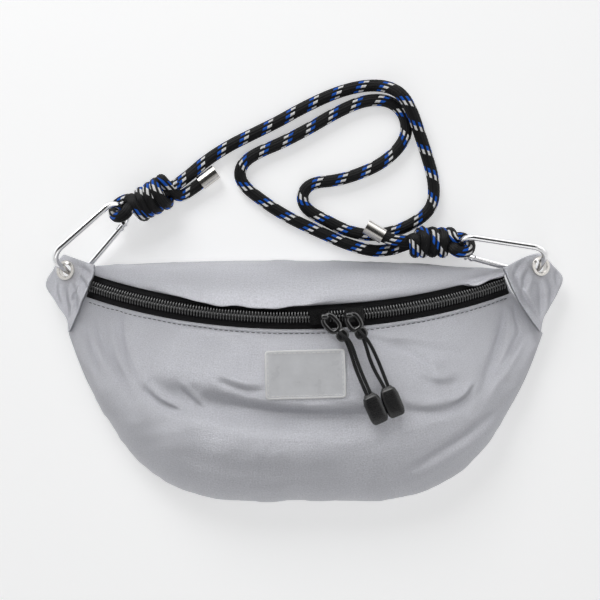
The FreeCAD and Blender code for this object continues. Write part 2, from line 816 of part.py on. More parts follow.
def wire_path():
    length = size("carabiner_length")
    corners = [
        gate_line(size("gate_nose_reach")),
        gate_line(0),
        Vector(0, -size("carabiner_broad"), 0),
        Vector(length, -size("carabiner_narrow"), 0),
        gate_line(length),
        gate_line(size("gate_hinge_reach + hinge_reach")),
    ]
    broad = size("broad_bend")
    narrow = size("narrow_bend")
    return rounded_path(corners, [broad, broad, narrow, narrow])


def carabiner(side):
    place = carabiner_frame(side)
    wire = size("wire_radius")
    pin = gate_line(size("gate_hinge_reach"))
    to_nose = (gate_line(0) - pin).normalize()
    hinge = Placement(pin, Rotation(to_nose, Vector(0, 0, 1).cross(to_nose), Vector(0, 0, 1), "ZXY"))
    back = size("hinge_reach")
    tongue_end = wire * 0.8
    tongue_thick = size("tongue_thick")
    bore = size("rivet_radius + rivet_play")

    def on_gate(shape):
        shape.Placement = hinge.multiply(shape.Placement)
        return shape

    tongue = on_gate(Part.makeBox(
        back + tongue_end, wire * 1.5, tongue_thick, Vector(-back, wire * -0.75, tongue_thick / -2)))
    collar = on_gate(Part.makeCylinder(
        size("wire_radius + collar_wall"), size("collar_length"), Vector(-back, 0, 0), Vector(-1, 0, 0)))
    hole = on_gate(Part.makeCylinder(size("rivet_radius"), wire * 4, Vector(0, 0, wire * -2)))
    frame = tube(wire_path(), wire).fuse([tongue, collar]).cut(hole)
    feature(f"{side}_carabiner_frame", frame, place)

    head_base = wire + size("rivet_play")
    head = size("rivet_head_thick")
    shank = Part.makeCylinder(size("rivet_radius"), (head_base + head) * 2, Vector(0, 0, -head_base - head))
    ends = [
        Part.makeCylinder(size("rivet_head"), head, Vector(0, 0, low))
        for low in (head_base, -head_base - head)
    ]
    feature(f"{side}_gate_rivet", on_gate(shank.fuse(ends).removeSplitter()), place)

    swing_room = back - size("hinge_swing_gap")
    heel = math.sqrt(swing_room ** 2 - wire ** 2)
    gate_length = size("gate_hinge_reach - gate_nose_reach - gate_gap")
    bar = Part.makeCylinder(wire, gate_length + heel, Vector(-heel, 0, 0), Vector(1, 0, 0))
    slot_end = math.hypot(tongue_end, wire * 0.75) + size("tongue_gap")
    slot_thick = tongue_thick + 2 * size("tongue_gap")
    slot = Part.makeBox(heel + slot_end, wire * 4, slot_thick, Vector(-heel, wire * -2, slot_thick / -2))
    pin_hole = Part.makeCylinder(bore, wire * 4, Vector(0, 0, wire * -2))
    feature(f"{side}_gate", on_gate(bar.cut([slot, pin_hole])), place)


# ---------------------------------------------------------------- strap

# Each knot: middle and heading of its wraps, with their length, radius and rounding.
KNOTS = {
    "left": (Vector(-100.4, 119.6, 12.6), Vector(0.874, 0.486, 0), 31.0, 11.4, 7.0),
    "right": (Vector(82.5, 91.1, 12.0), Vector(-0.999, 0.03, 0), 33.0, 9.8, 5.5),
}
LEFT_TAIL = [(-84.0, 120.6, 5.4), (-76.0, 125.8, 5.2), (-69.5, 130.4, 5.2)]
LEFT_FERRULE_HEADING = Vector(0.80, 0.60, 0.0)
RIGHT_TAIL = [(67.5, 91.5, 13.9), (63.0, 91.7, 14.4), (56.5, 92.4, 15.0), (50.5, 94.6, 14.6)]
RIGHT_FERRULE_HEADING = Vector(-0.86, 0.51, 0.0)

# The strap's route, laid on the surface that the bag rests on; it climbs over itself once.
LEFT_ROUTE = [
    (-84.2, 129.6, 8.5), (-76.2, 136.2, 5.6), (-67.0, 144.8, 4.1), (-51.6, 155.0, 4.1),
    (-34.8, 163.3, 4.1), (-17.8, 171.5, 4.1), (-3.7, 179.6, 4.1), (16.9, 189.5, 4.1),
    (33.8, 194.6, 4.1), (47.4, 195.6, 4.8), (57.3, 192.4, 9.8), (64.2, 186.4, 12.6),
    (69.6, 176.8, 12.6), (75.0, 163.3, 7.4), (80.5, 148.7, 4.1), (85.1, 132.1, 4.1),
    (84.9, 118.4, 4.1), (80.5, 110.8, 4.1), (73.0, 105.2, 4.1), (65.0, 101.0, 4.1),
    (56.0, 97.9, 4.1), (42.7, 95.6, 4.1), (26.1, 99.4, 4.1), (12.6, 106.6, 4.1),
    (4.6, 110.6, 4.1), (-0.8, 115.4, 4.1), (-2.6, 122.8, 4.1), (1.6, 129.0, 4.1),
    (9.0, 131.6, 4.1), (17.2, 132.0, 4.1), (25.3, 133.8, 4.1),
]
RIGHT_ROUTE = [
    (25.3, 133.8, 4.1), (33.8, 136.1, 4.1), (49.0, 142.8, 4.1), (59.3, 151.0, 4.1),
    (65.9, 160.0, 4.1), (67.2, 168.6, 4.1), (65.0, 176.5, 4.1), (59.3, 183.0, 4.1),
    (50.4, 186.2, 4.1), (37.1, 185.0, 4.1), (20.2, 177.4, 4.1), (2.3, 166.8, 4.1),
    (-16.9, 156.9, 4.1), (-30.8, 151.4, 4.1), (-41.0, 144.9, 4.1), (-44.2, 136.6, 4.1),
    (-40.8, 128.8, 4.1), (-30.8, 120.7, 4.1), (-17.6, 111.6, 4.1), (-3.7, 104.2, 4.1),
    (11.4, 97.4, 4.1), (26.8, 90.4, 4.1), (41.6, 86.2, 4.1), (50.6, 85.6, 5.0),
    (58.8, 87.2, 6.0),
]


def route_points(route):
    return [Vector(*place) for place in route]


def knot_solid(side):
    """The wraps' outer shape with the eye that goes round the carabiner's narrow end."""
    middle, heading, length, radius, rounding = KNOTS[side]
    start = middle - heading.normalize() * (length / 2)
    wraps = Part.makeCylinder(radius, length, start, heading)
    wraps = wraps.makeFillet(rounding, [edge for edge in wraps.Edges if edge.isClosed()])
    rope = size("rope_radius")
    clear = size("rope_clear")
    place = carabiner_frame(side)
    eye = Part.makeTorus(
        size("wire_radius") + clear + rope, rope,
        Vector(size("carabiner_length"), 0, 0), Vector(0, 1, 0))
    eye.Placement = place.multiply(eye.Placement)
    room = tube(wire_path(), size("wire_radius") + clear)
    room.Placement = place.multiply(room.Placement)
    return wraps.fuse(eye).cut(room)


def strap():
    rope = size("rope_radius")
    for side, tail, heading in (
        ("left", LEFT_TAIL, LEFT_FERRULE_HEADING),
        ("right", RIGHT_TAIL, RIGHT_FERRULE_HEADING),
    ):
        knot = knot_solid(side)
        feature(f"{side}_knot", knot)
        points = route_points(tail)
        mouth = points[-1]
        far = mouth + heading.normalize() * size("ferrule_length - ferrule_wall - ferrule_play")
        end = cord_tube(f"{side}_tail", points + [far], rope)
        feature(f"{side}_tail", end.cut(knot))
        cup = turned_body(f"{side}_ferrule", [
            ("rope_radius + ferrule_play", "0"),
            ("rope_radius + ferrule_play + ferrule_wall", "0"),
            ("rope_radius + ferrule_play + ferrule_wall", "ferrule_length"),
            ("0", "ferrule_length"),
            ("0", "ferrule_length - ferrule_wall"),
            ("rope_radius + ferrule_play", "ferrule_length - ferrule_wall"),
        ])
        cup.Placement = Placement(mouth, Rotation(Vector(0, 0, 1), heading))
        keep(cup, f"{side}_ferrule")
    feature("rope_left_half", cord_tube("rope_left_half", route_points(LEFT_ROUTE), rope))
    feature("rope_right_half", cord_tube("rope_right_half", route_points(RIGHT_ROUTE), rope))


back_panel()
panels()
zip_strips()
label_patch()
tabs()
for hand in ("left", "right"):
    slider(hand)
    pull(hand)
    carabiner(hand)
strap()

# ---------------------------------------------------------------- write the sub-parts

doc.recompute()
for item in doc.Objects:
    if "Invalid" in item.State or "Error" in item.State:
        raise RuntimeError(f"{item.Label} did not build: {item.State}")
for node in NODES:
    if node.Shape.isNull() or not node.Shape.isValid():
        raise RuntimeError(f"{node.Label} has no valid shape")
os.makedirs("parts", exist_ok=True)
for node in NODES:
    node.Shape.exportStep(f"parts/{node.Label}.step")
    print(node.Label, round(node.Shape.Volume, 1), len(node.Shape.Solids))
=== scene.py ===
"""Looks of a nylon waist bag: its cloth, zip, pulls, label, tabs, carabiners and rope strap."""

import math

import bmesh
import bpy
import numpy as np
from mathutils import Matrix, Vector
from mathutils.bvhtree import BVHTree


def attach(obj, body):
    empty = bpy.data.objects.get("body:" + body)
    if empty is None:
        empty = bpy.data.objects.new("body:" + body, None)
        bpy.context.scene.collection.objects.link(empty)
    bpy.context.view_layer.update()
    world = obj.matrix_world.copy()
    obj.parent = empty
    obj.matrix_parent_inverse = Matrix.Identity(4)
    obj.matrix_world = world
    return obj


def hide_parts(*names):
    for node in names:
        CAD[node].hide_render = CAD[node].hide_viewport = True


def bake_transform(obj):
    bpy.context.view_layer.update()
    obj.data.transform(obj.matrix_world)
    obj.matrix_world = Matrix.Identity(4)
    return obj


bl_info = {
    "name": "Waist bag",
    "version": (1, 0, 0),
    "blender": (4, 5, 0),
    "location": "View3D > Sidebar > Waist bag",
    "description": "Builds the cloth, zip, strap and fittings of a waist bag around its frame",
    "category": "Object",
}

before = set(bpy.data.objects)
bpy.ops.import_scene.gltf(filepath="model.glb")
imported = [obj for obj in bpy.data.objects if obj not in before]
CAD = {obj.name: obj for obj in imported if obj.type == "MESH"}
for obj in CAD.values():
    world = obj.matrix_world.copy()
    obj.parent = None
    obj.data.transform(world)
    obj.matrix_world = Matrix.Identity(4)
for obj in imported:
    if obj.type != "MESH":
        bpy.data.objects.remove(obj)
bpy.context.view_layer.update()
MM = 0.001


# ---------------------------------------------------------------- settings

def length(name, description, default):
    return bpy.props.FloatProperty(name=name, description=description, default=default, min=0.0,
                                   precision=5, unit="LENGTH")


def share(name, description, default):
    return bpy.props.FloatProperty(name=name, description=description, default=default,
                                   subtype="FACTOR", min=0.0, max=1.0)


def colour(name, description, default):
    return bpy.props.FloatVectorProperty(name=name, description=description, default=default,
                                         subtype="COLOR", size=3, min=0.0, max=1.0)


def number(name, description, default):
    return bpy.props.IntProperty(name=name, description=description, default=default, min=1)


class WaistBagCloth(bpy.types.PropertyGroup):
    nylon: colour("Nylon", "Colour of the satin nylon", (0.575, 0.58, 0.62))
    lining: colour("Lining", "Colour of the lining and of the zip's dark side", (0.08, 0.08, 0.085))
    # Painted shade: the top stitches are near black so that they also stand for the shade in the
    # stitch holes along the folded edge, which are not modelled.
    thread: colour("Thread", "Colour of the top stitches", (0.07, 0.07, 0.075))
    thickness: length("Thickness", "Thickness of the cloth", 0.0010)
    thread_pitch: length("Weave pitch", "Distance between two threads of the weave", 0.00045)
    fold_depth: share("Fold depth", "How deep the creases are", 1.0)
    stitch_pitch: length("Stitch pitch", "Distance between two top stitches", 0.0034)
    stitch_inset: length("Stitch inset", "Top stitches below the folded edge", 0.0028)


class WaistBagZip(bpy.types.PropertyGroup):
    coil: colour("Coil", "Colour of the coil's teeth", (0.016, 0.016, 0.017))
    tape: colour("Tape", "Colour of the woven tapes", (0.010, 0.010, 0.011))
    tooth_pitch: length("Tooth pitch", "Distance between two teeth of one side", 0.00190)
    wire: length("Wire", "Radius of the coil's wire", 0.00062)
    metal: colour("Slider", "Colour of the sliders and pull tabs", (0.005, 0.005, 0.0055))


class WaistBagPulls(bpy.types.PropertyGroup):
    cord: colour("Cord", "Colour of the pull cords", (0.004, 0.004, 0.0045))
    plastic: colour("Cord ends", "Colour of the cord ends", (0.0055, 0.0055, 0.006))
    cord_radius: length("Cord radius", "Radius of a pull cord", 0.00115)
    ring_wire: length("Ring", "Half the thickness of a pull tab's ring", 0.0012)


class WaistBagLabel(bpy.types.PropertyGroup):
    face: colour("Face", "Colour of the label", (0.80, 0.81, 0.835))
    rim: colour("Rim", "Colour of the label's raised rim", (0.96, 0.96, 0.97))
    thread: colour("Stitches", "Colour of the label's stitches", (1.0, 1.0, 1.0))
    stitch_pitch: length("Stitch pitch", "Distance between two stitches of the label", 0.0030)


class WaistBagRope(bpy.types.PropertyGroup):
    black: colour("Braid", "Colour of the plain strands", (0.0045, 0.0045, 0.005))
    blue: colour("Blue fleck", "Colour of the blue strand", (0.012, 0.13, 0.66))
    white: colour("White fleck", "Colour of the white strand", (1.0, 1.0, 1.0))
    radius: length("Radius", "Radius of the rope", 0.0040)
    strands: number("Strands", "Strands that turn the same way round the rope", 7)
    pick: length("Pick", "Length of a strand on the rope's face", 0.00243)
    relief: length("Relief", "Depth of the grooves between the strands", 0.00034)


class WaistBagMetal(bpy.types.PropertyGroup):
    steel: colour("Steel", "Colour of the carabiners", (0.82, 0.82, 0.83))
    nickel: colour("Nickel", "Colour of the eyelets and ferrules", (0.64, 0.62, 0.59))


class WaistBagStage(bpy.types.PropertyGroup):
    floor: colour("Floor", "Colour of the floor", (0.84, 0.845, 0.85))
    light: bpy.props.FloatProperty(name="Key light", description="Power of the large soft light",
                                   default=8.0, min=0.0, unit="POWER")
    height: length("Camera height", "Height of the camera over the floor", 0.65)


GROUPS = {
    "waist_bag_cloth": WaistBagCloth,
    "waist_bag_zip": WaistBagZip,
    "waist_bag_pulls": WaistBagPulls,
    "waist_bag_label": WaistBagLabel,
    "waist_bag_rope": WaistBagRope,
    "waist_bag_metal": WaistBagMetal,
    "waist_bag_stage": WaistBagStage,
}


# ---------------------------------------------------------------- node helpers

class Nodes:
    """A short way to write a node tree."""

    def __init__(self, tree):
        self.tree = tree

    def add(self, kind, inputs=None, **settings):
        node = self.tree.nodes.new(kind)
        for word, value in settings.items():
            setattr(node, word, value)
        for key, value in (inputs or {}).items():
            if isinstance(value, bpy.types.NodeSocket):
                self.tree.links.new(value, node.inputs[key])
            else:
                node.inputs[key].default_value = value
        return node

    def link(self, start, end):
        self.tree.links.new(start, end)

    def math(self, operation, first, second=0.0, third=0.0):
        return self.add("ShaderNodeMath", {0: first, 1: second, 2: third},
                        operation=operation).outputs[0]

    def vector(self, operation, first, second=(0, 0, 0)):
        return self.add("ShaderNodeVectorMath", {0: first, 1: second},
                        operation=operation).outputs[0]

    def stretch(self, vector, scale):
        return self.vector("MULTIPLY", vector, scale)

    def noise(self, vector, scale, detail=2.0, roughness=0.5):
        return self.add("ShaderNodeTexNoise", {
            "Vector": vector, "Scale": scale, "Detail": detail, "Roughness": roughness,
        }).outputs["Fac"]

    def remap(self, value, low, high, new_low=0.0, new_high=1.0):
        return self.add("ShaderNodeMapRange", {
            "Value": value, "From Min": low, "From Max": high, "To Min": new_low,
            "To Max": new_high,
        }).outputs["Result"]

    def blend(self, factor, first, second):
        node = self.add("ShaderNodeMix", data_type="RGBA")
        for socket, value in ((node.inputs[0], factor), (node.inputs[6], first),
                              (node.inputs[7], second)):
            if isinstance(value, bpy.types.NodeSocket):
                self.tree.links.new(value, socket)
            else:
                socket.default_value = value if isinstance(value, float) else (*value, 1.0)
        return node.outputs[2]


def shader_group(name, inputs, outputs, make):
    """A shader node group with named sockets; make(nodes, given) returns the outputs by name."""
    tree = bpy.data.node_groups.new(name, "ShaderNodeTree")
    for word, kind, value in inputs:
        socket = tree.interface.new_socket(word, in_out="INPUT", socket_type=kind)
        if value is not None:
            socket.default_value = value
    for word, kind in outputs:
        tree.interface.new_socket(word, in_out="OUTPUT", socket_type=kind)
    nodes = Nodes(tree)
    given = nodes.add("NodeGroupInput").outputs
    final = nodes.add("NodeGroupOutput")
    for word, socket in make(nodes, given).items():
        nodes.link(socket, final.inputs[word])
    return tree


def weave_group():
    def make(nodes, given):
        scaled = nodes.vector("MULTIPLY", given["Vector"], nodes.add(
            "ShaderNodeCombineXYZ",
            {0: given["Threads"], 1: given["Threads"], 2: given["Threads"]}).outputs[0])
        parts = nodes.add("ShaderNodeSeparateXYZ", {0: scaled}).outputs
        warp = nodes.math("SINE", nodes.math("MULTIPLY", parts[0], math.tau))
        weft = nodes.math("SINE", nodes.math("MULTIPLY", parts[1], math.tau))
        cross = nodes.math("MULTIPLY", warp, weft)
        slub = nodes.noise(nodes.stretch(given["Vector"], (60.0, 900.0, 60.0)), 1.0, 3.0, 0.6)
        ribs = nodes.noise(nodes.stretch(given["Vector"], (1100.0, 90.0, 90.0)), 1.0, 2.0, 0.5)
        cloud = nodes.noise(given["Vector"], 22.0, 3.0, 0.55)
        grain = nodes.noise(nodes.stretch(given["Vector"], (1.0, 1.5, 1.0)), 900.0, 2.0, 0.8)
        streaks = nodes.math("MULTIPLY_ADD", slub, 0.6, nodes.math("MULTIPLY", ribs, 0.4))
        height = nodes.math("MULTIPLY_ADD", cross, 0.35, nodes.math("MULTIPLY", streaks, 1.2))
        return {"Height": height, "Streaks": streaks, "Cloud": cloud, "Grain": grain}

    return shader_group("weave", [
        ("Vector", "NodeSocketVector", None), ("Threads", "NodeSocketFloat", 2200.0),
    ], [
        ("Height", "NodeSocketFloat"), ("Streaks", "NodeSocketFloat"), ("Cloud", "NodeSocketFloat"),
        ("Grain", "NodeSocketFloat"),
    ], make)


def wear_group():
    """Fine scratches and smudges."""
    def make(nodes, given):
        long_way = nodes.stretch(given["Vector"], (1.0, 14.0, 14.0))
        scratches = nodes.noise(long_way, given["Scale"], 4.0, 0.7)
        smudge = nodes.noise(given["Vector"], nodes.math("MULTIPLY", given["Scale"], 0.25), 3.0,
                             0.6)
        return {"Scratches": nodes.remap(scratches, 0.35, 0.75),
                "Smudge": nodes.remap(smudge, 0.35, 0.7)}

    return shader_group("wear", [
        ("Vector", "NodeSocketVector", None), ("Scale", "NodeSocketFloat", 300.0),
    ], [("Scratches", "NodeSocketFloat"), ("Smudge", "NodeSocketFloat")], make)


def braid_group():
    """Picks of a braid from a map: X counts ribs round the rope, Y counts picks along it."""
    def make(nodes, given):
        parts = nodes.add("ShaderNodeSeparateXYZ", {0: given["Map"]}).outputs
        rib, pick = parts[0], parts[1]
        odd = nodes.math("MODULO", nodes.math("FLOOR", rib), 2.0)
        half = nodes.math("MULTIPLY", rib, 0.5)
        right_hand = nodes.math("ADD", pick, half)
        left_hand = nodes.math("SUBTRACT", pick, half)
        strand = nodes.math("FLOORED_MODULO", right_hand, given["Strands"])
        even = nodes.math("SUBTRACT", 1.0, odd)
        blue = nodes.math("MULTIPLY", nodes.math("LESS_THAN", strand, 1.4), even)
        second = nodes.math("COMPARE", strand, 2.1, 0.7)
        white = nodes.math("MULTIPLY", second, even)
        across = nodes.math("FRACT", rib)
        slope = nodes.math("ADD", nodes.math("MULTIPLY", right_hand, even),
                           nodes.math("MULTIPLY", left_hand, odd))
        along = nodes.math("FRACT", slope)
        dome = nodes.math("SINE", nodes.math("MULTIPLY", across, math.pi))
        length_dome = nodes.math("POWER",
                                 nodes.math("SINE", nodes.math("MULTIPLY", along, math.pi)), 0.4)
        groove = nodes.math("MULTIPLY", nodes.math("POWER", dome, 0.6), length_dome)
        yarns = nodes.math("SINE", nodes.math("MULTIPLY", nodes.math("ADD", across, nodes.math(
            "MULTIPLY", along, 0.25)), math.tau * 4.0))
        return {"Blue": blue, "White": white, "Dome": groove, "Yarns": yarns}

    return shader_group("braid", [
        ("Map", "NodeSocketVector", None), ("Strands", "NodeSocketFloat", 7.0),
    ], [
        ("Blue", "NodeSocketFloat"), ("White", "NodeSocketFloat"),
        ("Dome", "NodeSocketFloat"), ("Yarns", "NodeSocketFloat"),
    ], make)


EFFECTS = {}


def effect(nodes, word, inputs):
    makers = {"weave": weave_group, "wear": wear_group, "braid": braid_group}
    if word not in EFFECTS:
        EFFECTS[word] = makers[word]()
    return nodes.add("ShaderNodeGroup", inputs, node_tree=EFFECTS[word]).outputs


def finish_material(name, constants, make=None):
    """A Principled material with constant sockets; make(nodes, sockets) adds the pattern."""
    material = bpy.data.materials.new(name)
    material.use_nodes = True
    nodes = Nodes(material.node_tree)
    shader = material.node_tree.nodes["Principled BSDF"]
    for word, value in constants.items():
        if word == "Base Color":
            value = (*value, 1.0)
        shader.inputs[word].default_value = value
    if make:
        make(nodes, shader.inputs)
    return material


def object_place(nodes):
    return nodes.add("ShaderNodeTexCoord").outputs["Object"]


def own_map(nodes):
    return nodes.add("ShaderNodeUVMap", uv_map="map").outputs[0]


def bump(nodes, sockets, height, distance):
    node = nodes.add("ShaderNodeBump", {"Height": height, "Distance": distance, "Strength": 1.0})
    nodes.link(node.outputs[0], sockets["Normal"])


MATERIALS = {}


def material(word):
    if word not in MATERIALS:
        MATERIALS[word] = worn(word) if word in WORN else MATERIAL_MAKERS[word]()
    return MATERIALS[word]


def shade(base, factor):
    return tuple(min(part * factor, 1.0) for part in base)


def nylon_material():
    cloth = bpy.context.scene.waist_bag_cloth
    base = tuple(cloth.nylon)

    def make(nodes, sockets):
        grain = effect(nodes, "weave",
                       {"Vector": own_map(nodes), "Threads": 1.0 / cloth.thread_pitch})
        tone = nodes.blend(nodes.remap(grain["Streaks"], 0.3, 0.7), shade(base, 0.90),
                           shade(base, 1.10))
        fine = nodes.blend(nodes.remap(grain["Grain"], 0.25, 0.75), shade(base, 0.60),
                           shade(base, 1.36))
        tone = nodes.blend(0.6, tone, fine)
        tone = nodes.blend(nodes.remap(grain["Cloud"], 0.3, 0.75, 0.0, 0.6), tone,
                           shade(base, 0.88))
        nodes.link(tone, sockets["Base Color"])
        nodes.link(nodes.remap(grain["Streaks"], 0.2, 0.8, 0.42, 0.33), sockets["Roughness"])
        bump(nodes, sockets, nodes.math("MULTIPLY_ADD", grain["Grain"], 1.6, grain["Height"]),
             0.00022)

    return finish_material("grey_nylon", {
        "Metallic": 0.72, "Sheen Weight": 0.1, "Sheen Roughness": 0.4, "Specular IOR Level": 0.6,
    }, make)


def lining_material():
    base = tuple(bpy.context.scene.waist_bag_cloth.lining)

    def make(nodes, sockets):
        grain = effect(nodes, "weave", {"Vector": object_place(nodes), "Threads": 1800.0})
        nodes.link(nodes.blend(grain["Streaks"], shade(base, 0.8), shade(base, 1.2)),
                   sockets["Base Color"])
        bump(nodes, sockets, grain["Height"], 0.0001)

    return finish_material("lining", {"Roughness": 0.7}, make)


def tape_material():
    base = tuple(bpy.context.scene.waist_bag_zip.tape)

    def make(nodes, sockets):
        place = own_map(nodes)
        parts = nodes.add("ShaderNodeSeparateXYZ", {0: place}).outputs
        ribs = nodes.math("SINE", nodes.math("MULTIPLY", parts[1], math.tau / 0.0009))
        picks = nodes.math("SINE", nodes.math("MULTIPLY", parts[0], math.tau / 0.0007))
        height = nodes.math("MULTIPLY_ADD", picks, 0.5, ribs)
        # Painted shade and highlight: the tape darkens in the weave's valleys and lightens on its
        # crests, following the bump height.
        nodes.link(nodes.blend(nodes.remap(height, -1.5, 1.5), shade(base, 0.6), shade(base, 1.9)),
                   sockets["Base Color"])
        bump(nodes, sockets, height, 0.00012)

    return finish_material("zip_tape", {"Roughness": 0.6, "Specular IOR Level": 0.2}, make)


# Each hard finish: its name, the group and the word of its colour, its constants, the scale of its
# marks, its roughness from clean to scratched, its shade in a smudge and the depth of a scratch.
WORN = {
    "coil": ("zip_coil", "zip", "coil", {"Specular IOR Level": 1.0}, 600.0, (0.14, 0.24), 1.5,
             0.00002),
    "black_metal": ("black_metal", "zip", "metal",
                    {"Metallic": 0.2, "Coat Weight": 1.0, "Coat Roughness": 0.10},
                    500.0, (0.22, 0.34), 1.6, 0.00002),
    "black_plastic": ("black_plastic", "pulls", "plastic", {"Specular IOR Level": 0.6},
                      450.0, (0.22, 0.36), 1.4, 0.00004),
    "steel": ("polished_steel", "metal", "steel", {"Metallic": 1.0}, 350.0, (0.10, 0.2), 0.9,
              0.000006),
    "nickel": ("nickel", "metal", "nickel", {"Metallic": 1.0}, 420.0, (0.12, 0.26), 0.86, 0.00001),
}


def worn(word):
    """A hard finish with fine scratches and smudges."""
    name, group, tint, constants, scale, rough, edge, relief = WORN[word]
    base = tuple(getattr(getattr(bpy.context.scene, f"waist_bag_{group}"), tint))

    def make(nodes, sockets):
        marks = effect(nodes, "wear", {"Vector": object_place(nodes), "Scale": scale})
        nodes.link(nodes.blend(nodes.math("MULTIPLY", marks["Smudge"], 0.6), base,
                               shade(base, edge)),
                   sockets["Base Color"])
        nodes.link(nodes.remap(marks["Scratches"], 0.0, 1.0, *rough), sockets["Roughness"])
        bump(nodes, sockets, marks["Scratches"], relief)

    return finish_material(name, constants, make)


def thread_material(name, base):
    base = tuple(base)

    def make(nodes, sockets):
        twist = nodes.noise(object_place(nodes), 2400.0, 2.0)
        nodes.link(nodes.blend(twist, shade(base, 0.8), shade(base, 1.15)), sockets["Base Color"])
        bump(nodes, sockets, twist, 0.00008)

    return finish_material(name, {"Roughness": 0.55, "Sheen Weight": 0.2}, make)


def vinyl_material(word):
    base = tuple(getattr(bpy.context.scene.waist_bag_label, word))

    def make(nodes, sockets):
        place = object_place(nodes)
        haze = nodes.noise(place, 90.0, 3.0, 0.6)
        specks = nodes.noise(place, 1500.0, 2.0, 0.5)
        nodes.link(nodes.blend(nodes.remap(haze, 0.3, 0.7), shade(base, 0.93), shade(base, 1.04)),
                   sockets["Base Color"])
        nodes.link(nodes.remap(haze, 0.2, 0.8, 0.24, 0.36), sockets["Roughness"])
        bump(nodes, sockets, specks, 0.00005)

    return finish_material(f"label_{word}", {"Coat Weight": 0.35, "Coat Roughness": 0.15}, make)


def rope_material():
    rope = bpy.context.scene.waist_bag_rope
    black, blue, white = tuple(rope.black), tuple(rope.blue), tuple(rope.white)

    def make(nodes, sockets):
        braid = effect(nodes, "braid", {"Map": own_map(nodes), "Strands": float(rope.strands)})
        uneven = nodes.noise(object_place(nodes), 500.0, 3.0, 0.6)
        plain = nodes.blend(uneven, shade(black, 0.6), shade(black, 2.2))
        tone = nodes.blend(braid["Blue"], plain, blue)
        tone = nodes.blend(braid["White"], tone, white)
        # Painted shade: the braid's colour darkens to half its black towards the grooves between the
        # strands, where each strand's dome falls off.
        groove_shade = nodes.remap(braid["Dome"], 0.0, 0.15)
        tone = nodes.blend(groove_shade, shade(black, 0.5), tone)
        nodes.link(tone, sockets["Base Color"])
        height = nodes.math("MULTIPLY_ADD", braid["Yarns"], 0.2,
                            nodes.math("MULTIPLY", uneven, 0.3))
        bump(nodes, sockets, height, 0.00015)
        nodes.link(nodes.remap(braid["Yarns"], -1.0, 1.0, 0.52, 0.4), sockets["Roughness"])

    return finish_material("rope_braid", {"Specular IOR Level": 0.16}, make)


def pull_cord_material():
    base = tuple(bpy.context.scene.waist_bag_pulls.cord)

    def make(nodes, sockets):
        braid = effect(nodes, "braid", {"Map": own_map(nodes), "Strands": 4.0})
        # Painted shade and highlight: the cord darkens into the grooves between its strands and
        # lightens on their crowns.
        nodes.link(nodes.blend(braid["Dome"], shade(base, 0.5), shade(base, 1.8)),
                   sockets["Base Color"])
        bump(nodes, sockets, braid["Dome"], 0.00015)

    return finish_material("pull_cord", {"Roughness": 0.45, "Specular IOR Level": 0.25}, make)


MATERIAL_MAKERS = {
    "nylon": nylon_material,
    "lining": lining_material,
    "tape": tape_material,
    "top_thread": lambda: thread_material("top_thread", bpy.context.scene.waist_bag_cloth.thread),
    "label_thread": lambda: thread_material("label_thread",
                                            bpy.context.scene.waist_bag_label.thread),
    "label_face": lambda: vinyl_material("face"),
    "label_rim": lambda: vinyl_material("rim"),
    "rope": rope_material,
    "pull_cord": pull_cord_material,
}


def dress(node, word):
    """Gives a CAD node its finish."""
    slots = CAD[node].data.materials
    slots.clear()
    slots.append(material(word))


# ---------------------------------------------------------------- mesh helpers

def placed(name, data):
    """A new object in the scene."""
    item = bpy.data.objects.new(name, data)
    bpy.context.scene.collection.objects.link(item)
    return item


def piece(name, points, faces, word, map_points=None):
    """A mesh object from points in millimetres; map_points are its map, in metres or counts."""
    mesh = bpy.data.meshes.new(name)
    mesh.from_pydata([tuple(place) for place in np.asarray(points, float) * MM], [], faces)
    if map_points is not None:
        layer = mesh.uv_layers.new(name="map")
        indices = np.empty(len(mesh.loops), int)
        mesh.loops.foreach_get("vertex_index", indices)
        layer.data.foreach_set("uv", np.asarray(map_points, float)[indices].ravel())
    mesh.materials.append(material(word))
    mesh.polygons.foreach_set("use_smooth", [True] * len(mesh.polygons))
    mesh.update()
    return placed(name, mesh)


def grid_faces(rows, columns, start=0, wrap=False, flip=False):
    across = columns if wrap else columns - 1
    faces = []
    for row in range(rows - 1):
        for column in range(across):
            near = start + row * columns + column
            side = start + row * columns + (column + 1) % columns
            face = (near, side, side + columns, near + columns)
            faces.append(face[::-1] if flip else face)
    return faces


def grid_normals(grid):
    down = np.gradient(grid, axis=0)
    along = np.gradient(grid, axis=1)
    normal = np.cross(along, down)
    return normal / np.maximum(np.linalg.norm(normal, axis=2, keepdims=True), 1e-9)


def upward_normals(grid, row, column):
    """Normals of a grid, turned so that the one at this row and column points up."""
    normal = grid_normals(grid)
    return -normal if normal[row, column, 2] < 0 else normal


def rim_faces(rows, columns, flip=False):
    """The faces that join the rims of two grids, the second stored right after the first."""
    size = rows * columns
    rim = list(range(columns)) + [row * columns + columns - 1 for row in range(1, rows)]
    rim += [(rows - 1) * columns + column for column in range(columns - 2, -1, -1)]
    rim += [row * columns for row in range(rows - 2, 0, -1)]
    faces = [(here, after, after + size, here + size)
             for here, after in zip(rim, rim[1:] + rim[:1])]
    return [face[::-1] for face in faces] if flip else faces


